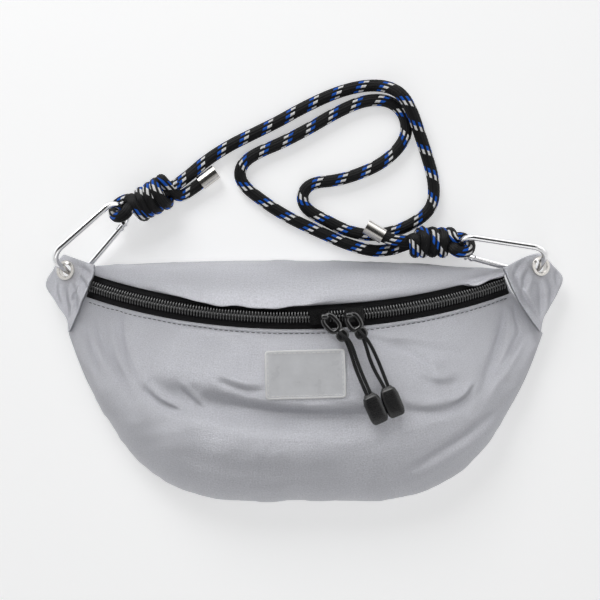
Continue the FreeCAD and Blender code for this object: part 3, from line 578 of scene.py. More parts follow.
def thick_sheet(name, grid, thickness, word, outward):
    """A closed sheet: its face is the grid, and its back lies thickness further in."""
    rows, columns = grid.shape[:2]
    normal = grid_normals(grid)
    middle = normal.reshape(-1, 3).mean(0)
    flip = float(middle @ np.asarray(outward, float)) < 0
    if flip:
        normal = -normal
    back = grid - normal * thickness
    points = np.concatenate([grid.reshape(-1, 3), back.reshape(-1, 3)])
    faces = grid_faces(rows, columns, 0, flip=not flip)
    faces += grid_faces(rows, columns, rows * columns, flip=flip)
    faces += rim_faces(rows, columns, flip)
    along = np.linalg.norm(np.diff(grid, axis=1), axis=2).mean(0)
    down = np.linalg.norm(np.diff(grid, axis=0), axis=2).mean(1)
    map_x = np.concatenate([[0], np.cumsum(along)])
    map_y = np.concatenate([[0], np.cumsum(down)])
    flat = np.stack(np.meshgrid(map_x, map_y), axis=2).reshape(-1, 2) * MM
    return piece(name, points, faces, word, np.concatenate([flat, flat]))


def face_out(item):
    """Merges doubles and turns every face outwards."""
    work = bmesh.new()
    work.from_mesh(item.data)
    bmesh.ops.remove_doubles(work, verts=work.verts, dist=1e-6)
    bmesh.ops.recalc_face_normals(work, faces=work.faces)
    work.to_mesh(item.data)
    work.free()


def baked(item):
    """Turns an object's modifiers into plain mesh."""
    bpy.context.view_layer.update()
    seen = item.evaluated_get(bpy.context.evaluated_depsgraph_get())
    mesh = bpy.data.meshes.new_from_object(seen)
    item.modifiers.clear()
    old = item.data
    item.data = mesh
    bpy.data.meshes.remove(old)
    return item


def settle(item, body, slot, *nodes):
    """Puts a finished piece on its body and hides the solids that it stands for; its slot is not
    used.
    """
    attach(item, body)
    if nodes:
        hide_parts(*nodes)
    return item


# ---------------------------------------------------------------- geometry node trees

def geometry_tree(name, inputs, make):
    """A Geometry Nodes tree with a geometry input and named sizes."""
    tree = bpy.data.node_groups.new(name, "GeometryNodeTree")
    tree.interface.new_socket("Geometry", in_out="INPUT", socket_type="NodeSocketGeometry")
    for word, kind in inputs:
        tree.interface.new_socket(word, in_out="INPUT", socket_type=kind)
    tree.interface.new_socket("Geometry", in_out="OUTPUT", socket_type="NodeSocketGeometry")
    nodes = Nodes(tree)
    given = nodes.add("NodeGroupInput").outputs
    final = nodes.add("NodeGroupOutput")
    nodes.link(make(nodes, given), final.inputs[0])
    return tree


def run_tree(item, tree, values):
    """Runs a tree on an object with values by input name, and keeps the plain mesh."""
    modifier = item.modifiers.new("build", "NODES")
    modifier.node_group = tree
    for socket in tree.interface.items_tree:
        if socket.item_type == "SOCKET" and socket.in_out == "INPUT" and socket.name in values:
            modifier[socket.identifier] = values[socket.name]
    return baked(item)


def stitch_tree():
    """Short rounded stitches laid along the object's edges."""
    def make(nodes, given):
        curve = nodes.add("GeometryNodeMeshToCurve", {"Mesh": given["Geometry"]}).outputs[0]
        spots = nodes.add("GeometryNodeCurveToPoints", {"Curve": curve, "Length": given["Pitch"]},
                          mode="LENGTH")
        turn = nodes.add("FunctionNodeAlignRotationToVector", {"Vector": spots.outputs["Tangent"]},
                         axis="X")
        bead = nodes.add("GeometryNodeMeshUVSphere",
                         {"Segments": 8, "Rings": 6, "Radius": 1.0}).outputs[0]
        size = nodes.add("ShaderNodeCombineXYZ", {
            0: nodes.math("MULTIPLY", given["Pitch"], 0.41), 1: given["Thread"],
            2: given["Thread"]}).outputs[0]
        laid = nodes.add("GeometryNodeInstanceOnPoints", {
            "Points": spots.outputs["Points"], "Instance": bead, "Rotation": turn.outputs[0],
            "Scale": size})
        solid = nodes.add("GeometryNodeRealizeInstances", {"Geometry": laid.outputs[0]}).outputs[0]
        smooth = nodes.add("GeometryNodeSetShadeSmooth", {"Geometry": solid}).outputs[0]
        return nodes.add("GeometryNodeSetMaterial",
                         {"Geometry": smooth, "Material": given["Material"]}).outputs[0]

    return geometry_tree("stitches", [
        ("Pitch", "NodeSocketFloat"), ("Thread", "NodeSocketFloat"),
        ("Material", "NodeSocketMaterial"),
    ], make)


def coil_tree():
    """Teeth of one side of a coil zip: half loops set round the zip's arc."""
    def make(nodes, given):
        count = given["Teeth"]
        spots = nodes.add("GeometryNodePoints", {"Count": count}).outputs[0]
        index = nodes.add("GeometryNodeInputIndex").outputs[0]
        angle = nodes.math("MULTIPLY_ADD", index, given["Step"], given["Start"])
        place = nodes.add("ShaderNodeCombineXYZ", {
            0: nodes.math("MULTIPLY", nodes.math("COSINE", angle), given["Radius"]),
            1: nodes.math("MULTIPLY", nodes.math("SINE", angle), given["Radius"]),
            2: 0.0}).outputs[0]
        set_place = nodes.add("GeometryNodeSetPosition",
                              {"Geometry": spots, "Position": place}).outputs[0]
        side = given["Side"]
        half = nodes.math("MULTIPLY", side, given["Reach"])
        inner = nodes.math("MULTIPLY", side, -0.0009)
        loop = nodes.add("GeometryNodeCurvePrimitiveBezierSegment", {
            "Resolution": 9,
            "Start": nodes.add("ShaderNodeCombineXYZ", {0: half, 1: 0.0, 2: -0.0010}).outputs[0],
            "Start Handle": nodes.add("ShaderNodeCombineXYZ",
                                      {0: half, 1: 0.0, 2: 0.0019}).outputs[0],
            "End Handle": nodes.add("ShaderNodeCombineXYZ",
                                    {0: inner, 1: 0.0, 2: 0.0021}).outputs[0],
            "End": nodes.add("ShaderNodeCombineXYZ", {0: inner, 1: 0.0, 2: -0.0007}).outputs[0],
        }, mode="POSITION").outputs[0]
        ring = nodes.add("GeometryNodeCurvePrimitiveCircle",
                         {"Resolution": 6, "Radius": given["Wire"]}).outputs[0]
        tooth = nodes.add("GeometryNodeCurveToMesh", {
            "Curve": loop, "Profile Curve": ring, "Fill Caps": True}).outputs[0]
        lean = nodes.add("GeometryNodeTransform", {
            "Geometry": tooth,
            "Rotation": nodes.add("ShaderNodeCombineXYZ", {1: given["Lean"]}).outputs[0],
        }).outputs[0]
        turn = nodes.add("ShaderNodeCombineXYZ", {2: angle}).outputs[0]
        laid = nodes.add("GeometryNodeInstanceOnPoints", {
            "Points": set_place, "Instance": lean,
            "Rotation": nodes.add("FunctionNodeEulerToRotation", {0: turn}).outputs[0]}).outputs[0]
        set_down = nodes.add("GeometryNodeTransform", {
            "Geometry": laid, "Translation": given["Centre"], "Rotation": given["Turn"]}).outputs[0]
        solid = nodes.add("GeometryNodeRealizeInstances", {"Geometry": set_down}).outputs[0]
        smooth = nodes.add("GeometryNodeSetShadeSmooth", {"Geometry": solid}).outputs[0]
        return nodes.add("GeometryNodeSetMaterial",
                         {"Geometry": smooth, "Material": given["Material"]}).outputs[0]

    return geometry_tree("coil_teeth", [
        ("Teeth", "NodeSocketInt"), ("Step", "NodeSocketFloat"), ("Start", "NodeSocketFloat"),
        ("Radius", "NodeSocketFloat"), ("Side", "NodeSocketFloat"), ("Reach", "NodeSocketFloat"),
        ("Wire", "NodeSocketFloat"), ("Lean", "NodeSocketFloat"), ("Centre", "NodeSocketVector"),
        ("Turn", "NodeSocketVector"), ("Material", "NodeSocketMaterial"),
    ], make)


TREES = {}


def tree(word):
    if word not in TREES:
        TREES[word] = {"stitches": stitch_tree, "coil_teeth": coil_tree}[word]()
    return TREES[word]


# ---------------------------------------------------------------- cords

def cord_line(name, route):
    """The smooth line of a cord through its route, read from a NURBS spline; in metres."""
    curve = bpy.data.curves.new(name, "CURVE")
    curve.dimensions = "3D"
    curve.resolution_u = 16
    spline = curve.splines.new("NURBS")
    spline.points.add(len(route) - 1)
    for point, place in zip(spline.points, route):
        point.co = (*place, 1.0)
    spline.order_u = 3
    spline.use_endpoint_u = True
    holder = placed(name, curve)
    bpy.context.view_layer.update()
    mesh = bpy.data.meshes.new_from_object(holder)
    line = np.array([tuple(vertex.co) for vertex in mesh.vertices])
    bpy.data.meshes.remove(mesh)
    bpy.data.objects.remove(holder)
    bpy.data.curves.remove(curve)
    return line


def reaches(line):
    """How far along a line each of its points lies."""
    return np.concatenate([[0], np.cumsum(np.linalg.norm(np.diff(line, axis=0), axis=1))])


def even_steps(line, step):
    """The same line in nearly equal steps."""
    runs = np.linalg.norm(np.diff(line, axis=0), axis=1)
    line = line[np.concatenate([[True], runs > 1e-9])]
    reach = reaches(line)
    places = np.linspace(0, reach[-1], max(int(round(reach[-1] / step)), 2) + 1)
    even = np.stack([np.interp(places, reach, line[:, axis]) for axis in range(3)], axis=1)
    return even, places


def carried_frames(line):
    """Two directions across the line at each point, carried along it without twist."""
    heading = np.gradient(line, axis=0)
    heading /= np.linalg.norm(heading, axis=1, keepdims=True)
    first = np.array([0.0, 0.0, 1.0])
    if abs(heading[0] @ first) > 0.9:
        first = np.array([1.0, 0.0, 0.0])
    sides = []
    for direction in heading:
        first = first - direction * (first @ direction)
        first = first / np.linalg.norm(first)
        sides.append(first)
    sides = np.array(sides)
    return sides, np.cross(heading, sides)


def braided_cord(name, line, radius, word, ribs, pick, relief, per_rib=5, ends=None):
    """A braided tube round a line in metres, or between two places on it, with raised strands."""
    step = pick / 5
    centres, reach = even_steps(line, step)
    up, side = carried_frames(centres)
    if ends:
        first, last = (int(np.argmin(((centres - end) ** 2).sum(1))) for end in ends)
        kept = slice(first, last + 1)
        centres, reach, up, side = centres[kept], reach[kept], up[kept], side[kept]
    around = np.linspace(0, 1, ribs * per_rib + 1)
    rib = around * ribs
    picks = reach / pick
    rib_grid, pick_grid = np.meshgrid(rib, picks)
    odd = np.floor(np.minimum(rib_grid, ribs - 1e-6)) % 2
    slope = np.where(odd > 0.5, pick_grid - rib_grid / 2, pick_grid + rib_grid / 2)
    across = np.abs(np.sin(np.pi * rib_grid))
    along = np.abs(np.sin(np.pi * slope))
    raised = relief * (across ** 0.7 * (0.65 + 0.35 * along ** 0.5) - 1.0)
    angle = around * math.tau
    out = up[:, None] * np.cos(angle)[None, :, None] + side[:, None] * np.sin(angle)[None, :, None]
    rings = centres[:, None] + out * (radius + raised)[..., None]
    rows, columns = rings.shape[:2]
    points = np.concatenate([rings.reshape(-1, 3), centres[:1], centres[-1:]]) / MM
    faces = grid_faces(rows, columns)
    start, end = rows * columns, rows * columns + 1
    last = (rows - 1) * columns
    for column in range(columns - 1):
        faces.append((start, column + 1, column))
        faces.append((end, last + column, last + column + 1))
    flat = np.stack([rib_grid, pick_grid], axis=2).reshape(-1, 2)
    flat = np.concatenate([flat, [[ribs / 2, picks[0]], [ribs / 2, picks[-1]]]])
    item = piece(name, points, faces, word, flat)
    return item, centres


# ---------------------------------------------------------------- surfaces shared by the pieces

HALF_WIDTH, DEPTH, SEAM_FOOT = 154.5, 79.0, 32.0
LEFT_HEAD, RIGHT_HEAD, TOP_MIDDLE = (-137.0, 76.0), (126.0, 73.7), (-8.0, 79.5)
FLAT_HALF, END_LIFT = 95.0, 165.0
BACK_FACE = 1.35
ZIP_RADIUS, ZIP_LEFT, ZIP_RIGHT, ZIP_HALF = 280.0, 28.5, 30.0, 7.5
ZIP_AXIS = np.array([0.0, 0.8, 0.6])
ZIP_UP = np.array([0.0, -0.6, 0.8])
ZIP_CENTRE = np.array([-8.0, 42.5, 42.0]) - ZIP_UP * ZIP_RADIUS


def zip_radial(angle):
    angle = np.asarray(angle, float)[..., None]
    return ZIP_UP * np.cos(angle) + np.array([1.0, 0.0, 0.0]) * np.sin(angle)


def zip_place(angle, down=0.0, out=0.0):
    """A point of the zip by its angle in radians, down towards the bottom and out of its face."""
    down = np.asarray(down, float)[..., None]
    out = np.asarray(out, float)[..., None]
    reach = ZIP_RADIUS + 0.6 * down + 0.8 * out
    return ZIP_CENTRE + zip_radial(angle) * reach + ZIP_AXIS * (0.6 * out - 0.8 * down)


def lift(x):
    past = np.maximum(np.abs(x) - FLAT_HALF, 0)
    return END_LIFT - np.sqrt(END_LIFT ** 2 - past ** 2)


def smooth_through(places, count=400):
    """A smooth plane curve through its places, as evenly spaced points."""
    places = np.asarray(places, float)
    knots = reaches(places)
    steps = np.diff(knots)
    size = len(places)
    matrix = np.eye(size)
    right = np.zeros((size, places.shape[1]))
    for index in range(1, size - 1):
        before, after = steps[index - 1], steps[index]
        matrix[index, index - 1:index + 2] = before, 2 * (before + after), after
        right[index] = 6 * ((places[index + 1] - places[index]) / after
                            - (places[index] - places[index - 1]) / before)
    bends = np.linalg.solve(matrix, right)
    spots = np.linspace(0, knots[-1], count * 4)
    cell = np.clip(np.searchsorted(knots, spots) - 1, 0, size - 2)
    run = steps[cell][:, None]
    late = (spots - knots[cell])[:, None] / run
    early = 1 - late
    line = (places[cell] * early + places[cell + 1] * late
            + ((early ** 3 - early) * bends[cell] + (late ** 3 - late) * bends[cell + 1])
            * run ** 2 / 6)
    return even_steps(line if line.shape[1] == 3 else np.pad(line, ((0, 0), (0, 1))),
                      knots[-1] / count)[0]


BOTTOM_SHARES = [(-0.926, 0.0), (-0.835, -0.34), (-0.731, -0.633), (-0.595, -0.848), (-0.4, -0.981)]
BOTTOM_LEFT = [(-HALF_WIDTH, SEAM_FOOT)] + [(x * HALF_WIDTH, y * DEPTH) for x, y in BOTTOM_SHARES]
BOTTOM = smooth_through(BOTTOM_LEFT + [(0.0, -DEPTH)] + [(-x, y) for x, y in reversed(BOTTOM_LEFT)])


def line_at(line, at):
    at = np.clip(np.asarray(at, float), 0, 1) * (len(line) - 1)
    return np.stack([np.interp(at, np.arange(len(line)), line[:, axis]) for axis in range(3)],
                    axis=-1)


def arc_through(first, middle, last, count=200):
    (ax, ay), (bx, by), (cx, cy) = first, middle, last
    matrix = 2 * np.array([[bx - ax, by - ay], [cx - ax, cy - ay]])
    right = np.array([bx ** 2 - ax ** 2 + by ** 2 - ay ** 2, cx ** 2 - ax ** 2 + cy ** 2 - ay ** 2])
    x, y = np.linalg.solve(matrix, right)
    radius = math.hypot(ax - x, ay - y)
    turns = np.linspace(math.atan2(ay - y, ax - x), math.atan2(cy - y, cx - x), count)
    return np.stack([x + radius * np.cos(turns), y + radius * np.sin(turns), np.zeros(count)],
                    axis=1)


TOP_EDGE = arc_through(LEFT_HEAD, TOP_MIDDLE, RIGHT_HEAD)


def seated(places):
    """The same places on the back's face, over the lifted ends of the bag."""
    places = places.copy()
    places[..., 2] = lift(places[..., 0]) + BACK_FACE
    return places


def bezier(first, second, third, fourth, at):
    at = at[..., None]
    rest = 1 - at
    return (first * rest ** 3 + second * 3 * rest ** 2 * at
            + third * 3 * rest * at ** 2 + fourth * at ** 3)


def edge_angle(along):
    return np.radians(-ZIP_LEFT + (ZIP_LEFT + ZIP_RIGHT) * along)


def front_surface(along, down):
    """The front: from the zip's folded edge, over the bulge, to the rounded bottom."""
    start = zip_place(edge_angle(along), np.full_like(along, ZIP_HALF))
    end = seated(line_at(BOTTOM, along))
    full = np.maximum((start[..., 2:] - end[..., 2:]) / 42.0, 0.06)
    level = end.copy()
    level[..., 2:] = start[..., 2:]
    up = np.array([0.0, 0.0, 1.0])
    return bezier(start, start + (level - start) * 0.35 + up * 13.0 * full, end + up * 54.0 * full,
                  end, down)


def gusset_surface(along, up_share):
    """The gusset from the zip's upper edge to the strap edge."""
    start = zip_place(edge_angle(along), np.full_like(along, -ZIP_HALF))
    end = seated(line_at(TOP_EDGE, along))
    full = np.maximum((start[..., 2:] - end[..., 2:]) / 42.0, 0.06)
    return bezier(start, start + np.array([0.0, 9.0, 6.3]) * full,
                  end + np.array([0.0, 2.0, 30.0]) * full,
                  end, up_share)


def crease(x, y, line, width, depth, ridge=0.6):
    """Height of one crease at places in plan: a hollow along a line with a soft ridge beside it."""
    line = smooth_through(line, 40)[:, :2]
    places = np.stack([x.ravel(), y.ravel()], axis=1)
    gaps = places[:, None] - line[None]
    nearest = np.argmin((gaps ** 2).sum(2), axis=1)
    heading = np.gradient(line, axis=0)
    heading /= np.linalg.norm(heading, axis=1, keepdims=True)
    gap = gaps[np.arange(len(places)), nearest]
    here = heading[nearest]
    across = here[:, 0] * gap[:, 1] - here[:, 1] * gap[:, 0]
    past = np.abs((here * gap).sum(1))
    end = np.sin(np.pi * np.clip(nearest / (len(line) - 1), 0.02, 0.98)) ** 0.6
    taper = end * np.exp(-(past / (width * 1.5)) ** 2)
    shape = (-np.exp(-(across / width) ** 2)
             + ridge * np.exp(-((across - width * 1.9) / (width * 1.3)) ** 2))
    return (depth * shape * taper).reshape(x.shape)


# Each crease of the front: its line in plan, width, depth and how high its ridge is.
FRONT_CREASES = [
    ([(-108, 2), (-80, -8), (-50, -14), (-20, -18), (25, -20), (66, -19)], 8.5, 5.4, 0.45),
    ([(-44, -12), (-20, -16), (10, -18), (44, -18)], 2.6, 2.0, 0.5),
    ([(-104, -2), (-97, -8), (-88, -14), (-76, -18)], 2.4, 1.7, 0.9),
    ([(-80, 0), (-72, -9), (-64, -17)], 1.8, 1.0, 0.9),
    ([(-132, 42), (-128, 26), (-121, 10), (-112, -8)], 3.2, 1.6, 0.8),
    ([(-120, 46), (-118, 30), (-113, 14), (-108, 2)], 2.4, 1.2, 0.9),
    ([(-143, 36), (-138, 22), (-130, 4)], 2.6, 1.2, 0.7),
    ([(128, 44), (124, 26), (118, 10), (112, -6)], 3.4, 1.7, 0.8),
    ([(140, 34), (130, 18), (118, 0)], 2.6, 1.3, 0.8),
    ([(136, -8), (112, -26), (84, -44), (58, -58)], 3.6, 1.5, 0.8),
    ([(30, 30), (50, 26), (74, 22), (96, 20)], 4.0, 1.5, 0.7),
    ([(56, -14), (76, -17), (94, -14), (108, -6)], 3.0, 1.3, 0.8),
    ([(-56, 4), (-44, -1), (-32, -3), (-24, -2)], 2.6, 1.5, 0.9),
    ([(-70, 34), (-46, 28), (-30, 20)], 5.0, 1.0, 0.6),
    ([(-96, -40), (-50, -52), (-4, -55), (40, -52)], 6.0, 0.9, 0.7),
    ([(70, 6), (82, 0), (98, 2)], 3.0, 1.0, 0.8),
    ([(136, 52), (137, 43), (139, 33)], 1.5, 1.0, 0.9),
    ([(129, 50), (127, 36), (121, 22)], 1.6, 0.9, 0.9),
    ([(-138, 44), (-133, 30), (-127, 16)], 1.6, 1.0, 0.9),
    ([(92, -14), (101, -9), (107, 0)], 1.6, 1.1, 0.9),
    ([(60, 22), (74, 15), (80, 4)], 2.0, 1.0, 0.8),
]


# Each crease of the gusset, as for the front.
GUSSET_CREASES = [
    ([(-100, 74), (-60, 79), (-20, 80)], 2.6, 1.4, 0.9),
    ([(-90, 82), (-40, 90), (10, 92), (50, 88)], 3.0, 1.2, 0.7),
    ([(20, 76), (50, 76), (80, 74)], 2.4, 1.2, 0.9),
    ([(60, 84), (88, 80), (110, 74)], 2.6, 1.3, 0.8),
    ([(-125, 74), (-110, 78), (-90, 80)], 2.0, 1.1, 0.9),
    ([(100, 66), (112, 68), (122, 70)], 1.8, 1.1, 0.8),
]
# Where the gusset's edge puffs out over the zip: middle and half length along x.
GUSSET_PUFFS = [(-40, 42), (118, 17)]


def soft_noise(x, y, scale, seed):
    """Slow, smooth unevenness from a few waves."""
    rng = np.random.default_rng(seed)
    total = np.zeros_like(x)
    for _ in range(9):
        turn = rng.uniform(0, math.tau)
        wave = rng.uniform(0.6, 1.6) / scale
        total += np.sin((x * math.cos(turn) + y * math.sin(turn)) * wave * math.tau
                        + rng.uniform(0, math.tau))
    return total / 9


def fold_along(along, down, spread, seed):
    """Small puckers that run away from a sewn edge and die out within their spread."""
    rng = np.random.default_rng(seed)
    total = np.zeros_like(along)
    for _ in range(7):
        wave = rng.uniform(18, 55)
        total += np.sin(along * wave * math.tau + rng.uniform(0, math.tau)
                        + down * rng.uniform(-2, 2))
    return total / 7 * np.exp(-down / spread)


SKINS = {}


def front_grid(columns=300, rows=150):
    along, down = np.meshgrid(np.linspace(0, 1, columns), np.linspace(0, 1, rows) ** 1.35)
    grid = front_surface(along, down)
    steps = np.linalg.norm(np.diff(grid, axis=0), axis=2)
    reach = np.concatenate([np.zeros((1, columns)), np.cumsum(steps, axis=0)])
    normal = upward_normals(grid, rows // 2, columns // 2)
    x, y = grid[..., 0], grid[..., 1]
    depth = bpy.context.scene.waist_bag_cloth.fold_depth
    height = sum(crease(x, y, *fold) for fold in FRONT_CREASES) * depth
    height += soft_noise(x, y, 38.0, 4) * 1.1 + soft_noise(x, y, 15.0, 9) * 0.26
    height += fold_along(along, 1 - down, 0.09, 3) * 0.5 + fold_along(along, down, 0.07, 5) * 0.22
    under_pulls = np.exp(-(((x - 42) / 26) ** 6 + ((y - 5) / 34) ** 6))
    height = np.where(height > 0,
                      height * (1 - under_pulls) + np.minimum(height, 0.5) * under_pulls, height)
    near_label = np.exp(-(((x + 0.3) / 30) ** 4 + ((y - 7.4) / 19) ** 4))
    height *= 1 - 0.8 * near_label
    edges = np.clip(down / 0.05, 0, 1) * np.clip((1 - down) / 0.03, 0, 1)
    edges *= np.clip(along / 0.02, 0, 1) * np.clip((1 - along) / 0.02, 0, 1)
    ends = np.clip(along / 0.03, 0, 1) * np.clip((1 - along) / 0.03, 0, 1)
    hem = 0.55 * np.exp(-((reach - 1.2) / 0.9) ** 2) - 0.5 * np.exp(-((reach - 2.8) / 0.7) ** 2)
    grid = grid + normal * (height * edges + hem * ends)[..., None]
    hem_down = np.linspace(0.4, 3.1, 6)
    end, outward = grid[-1], normal[-1]
    flat_out = outward.copy()
    flat_out[:, 2] = 0
    flat_out /= np.maximum(np.linalg.norm(flat_out, axis=1, keepdims=True), 1e-6)
    hem = []
    for turn in hem_down:
        row = end + flat_out * (0.85 * math.sin(turn))
        row[:, 2] = end[:, 2] - 0.7 * (1 - math.cos(turn))
        hem.append(row)
    return np.concatenate([grid, np.array(hem)])


def skin_of(item):
    """The surface of a finished mesh, to lay other pieces on."""
    mesh = item.data
    mesh.calc_loop_triangles()
    places = [vertex.co.copy() for vertex in mesh.vertices]
    return BVHTree.FromPolygons(places, [tuple(part.vertices) for part in mesh.loop_triangles])


def laid_on(skin, x, y):
    """The highest point of a surface at a place in plan, with its normal; in millimetres."""
    place, normal, _, _ = skin.ray_cast(Vector((x * MM, y * MM, 0.2)), Vector((0, 0, -1)))
    if place is None:
        raise RuntimeError(f"nothing lies under {x:.1f}, {y:.1f}")
    return np.array(place) / MM, np.array(normal)


# ---------------------------------------------------------------- carabiners and knots

# Each carabiner: its eyelet, its heading in plan, its hand, its lean in degrees and how far its axis
# lies from the eyelet, away from its gate.
CARABINERS = {
    "left": ((-155.8, 72.6, 14.5), (0.70, 0.714), 1, 50.0, 3.0),
    "right": ((152.6, 75.3, 14.5), (-0.978, 0.208), -1, 56.0, 4.5),
}


def carabiner_frame(side):
    """Origin and directions of a carabiner: to its strap end, to its gate side and across it."""
    eyelet, heading, hand, lean, slip = CARABINERS[side]
    heading = np.array([*heading, 0.0])
    heading /= np.linalg.norm(heading)
    level = np.array([heading[1], -heading[0], 0.0]) * hand
    gate = level * math.cos(math.radians(lean)) - np.array([0, 0, math.sin(math.radians(lean))])
    return np.array(eyelet) - gate * slip, heading, gate, np.cross(heading, gate)


NARROW_END, NOOSE_RADIUS, ROPE_RADIUS = 54.0, 6.35, 4.0

# Each knot: middle and heading of its wraps, their length, radius, turns, first angle and tilt, the
# heading of its tail and the places that the tail runs through.
KNOTS = {
    "left": ((-100.4, 119.6, 12.6), (0.874, 0.486), 31.0, 11.6, 4, 0.7, 3.4, (0.80, 0.60, 0.0),
             [(-84.0, 120.6, 5.4), (-76.0, 125.8, 5.2), (-69.5, 130.4, 5.2)]),
    "right": ((82.5, 91.1, 12.4), (-0.999, 0.03), 33.0, 10.8, 4, 1.9, 1.6, (-0.86, 0.51, 0.0),
              [(67.5, 91.5, 13.9), (63.0, 91.7, 14.4), (56.5, 92.4, 15.0), (50.5, 94.6, 14.6)]),
}


def knot_route(side):
    """In through the wraps, round the carabiner's narrow end, back over them, out as the tail."""
    middle, heading, long, radius, turns, start_turn, tilt, tail_heading, tail = KNOTS[side]
    strap = LEFT_ROUTE[:2] if side == "left" else RIGHT_ROUTE[:-3:-1]
    strap = [np.array(place) / MM for place in strap]
    middle = np.array(middle)
    along = np.array([*heading, 0.0])
    along /= np.linalg.norm(along)
    across = np.array([-along[1], along[0], 0.0])
    up = np.array([0.0, 0.0, 1.0])
    origin, to_end, _, over = carabiner_frame(side)
    if over[2] < 0:
        over = -over
    bar = origin + to_end * NARROW_END
    entry = strap[0] + (strap[1] - strap[0]) / np.linalg.norm(strap[1] - strap[0]) * 2.0
    route = [entry, strap[0], middle + along * (long / 2 - 5), middle,
             middle - along * (long / 2 - 4)]
    for turn in (40, 90, 140, 180, 220, 270, 320):
        angle = math.radians(turn)
        route.append(bar + to_end * (NOOSE_RADIUS * math.cos(angle))
                     + over * (NOOSE_RADIUS * math.sin(angle)))
    wrap = radius - ROPE_RADIUS
    steps = turns * 12
    for index in range(steps + 1):
        part = index / steps
        angle = start_turn + part * turns * math.tau
        lean = tilt * math.cos(angle + 0.6) * math.sin(math.pi * min(max(part, 0.08), 0.92))
        place = middle + along * ((part - 0.5) * (long - 8.6) + lean)
        reach = wrap * (1.0 - 0.05 * math.sin(part * 5.0))
        route.append(place + across * (reach * math.cos(angle)) + up * (reach * math.sin(angle)))
    route += [np.array(place) for place in tail]
    direction = np.array(tail_heading) / np.linalg.norm(tail_heading)
    route.append(route[-1] + direction * 6.0)
    route.append(route[-1] + direction * 6.0)
    return [tuple(place * MM) for place in route]


def metres(route):
    return [tuple(part * MM for part in place) for place in route]


# The strap's pieces, with the solids they stand for.
STRAP_PIECES = {
    "left_strap": ["rope_left_half"],
    "middle_strap": ["rope_left_half", "rope_right_half"],
    "right_strap": ["rope_right_half"],
}
STRAP_BENDS = [(0.0474, 0.1956, 0.0048), (-0.0410, 0.1449, 0.0041)]

# The strap's route over the surface that the bag rests on; it climbs over itself once.
LEFT_ROUTE = metres([
    (-84.2, 129.6, 8.5), (-76.2, 136.2, 5.6), (-67.0, 144.8, 4.1), (-51.6, 155.0, 4.1),
    (-34.8, 163.3, 4.1), (-17.8, 171.5, 4.1), (-3.7, 179.6, 4.1), (16.9, 189.5, 4.1),
    (33.8, 194.6, 4.1), (47.4, 195.6, 4.8), (57.3, 192.4, 9.8), (64.2, 186.4, 12.6),
    (69.6, 176.8, 12.6), (75.0, 163.3, 7.4), (80.5, 148.7, 4.1), (85.1, 132.1, 4.1),
    (84.9, 118.4, 4.1), (80.5, 110.8, 4.1), (73.0, 105.2, 4.1), (65.0, 101.0, 4.1),
    (56.0, 97.9, 4.1), (42.7, 95.6, 4.1), (26.1, 99.4, 4.1), (12.6, 106.6, 4.1),
    (4.6, 110.6, 4.1), (-0.8, 115.4, 4.1), (-2.6, 122.8, 4.1), (1.6, 129.0, 4.1),
    (9.0, 131.6, 4.1), (17.2, 132.0, 4.1), (25.3, 133.8, 4.1),
])
RIGHT_ROUTE = metres([
    (25.3, 133.8, 4.1), (33.8, 136.1, 4.1), (49.0, 142.8, 4.1), (59.3, 151.0, 4.1),
    (65.9, 160.0, 4.1), (67.2, 168.6, 4.1), (65.0, 176.5, 4.1), (59.3, 183.0, 4.1),
    (50.4, 186.2, 4.1), (37.1, 185.0, 4.1), (20.2, 177.4, 4.1), (2.3, 166.8, 4.1),
    (-16.9, 156.9, 4.1), (-30.8, 151.4, 4.1), (-41.0, 144.9, 4.1), (-44.2, 136.6, 4.1),
    (-40.8, 128.8, 4.1), (-30.8, 120.7, 4.1), (-17.6, 111.6, 4.1), (-3.7, 104.2, 4.1),
    (11.4, 97.4, 4.1), (26.8, 90.4, 4.1), (41.6, 86.2, 4.1), (50.6, 85.6, 5.0),
    (58.8, 87.2, 6.0),
])


# ---------------------------------------------------------------- operators

class Maker(bpy.types.Operator):
    """Shared manners of the operators that make pieces."""
    bl_options = {"REGISTER", "UNDO"}

    def execute(self, context):
        self.make(context)
        return {"FINISHED"}


FLOOR_REACH, FLOOR_Z = 3.0, -0.0003
CAMERA_OVER = (-0.00367, 0.0533)
LAMP_AIM = Vector((0, 0.05, 0))
# Each lamp: its place, its size and its share of the key light's power.
LAMPS = [
    ("key_light", (-0.50, 1.10, 0.80), 0.7, 1.0),
    ("fill_light", (0.85, 0.15, 1.2), 0.8, 0.22),
    ("front_light", (0.0, -0.95, 1.0), 0.9, 0.24),
]


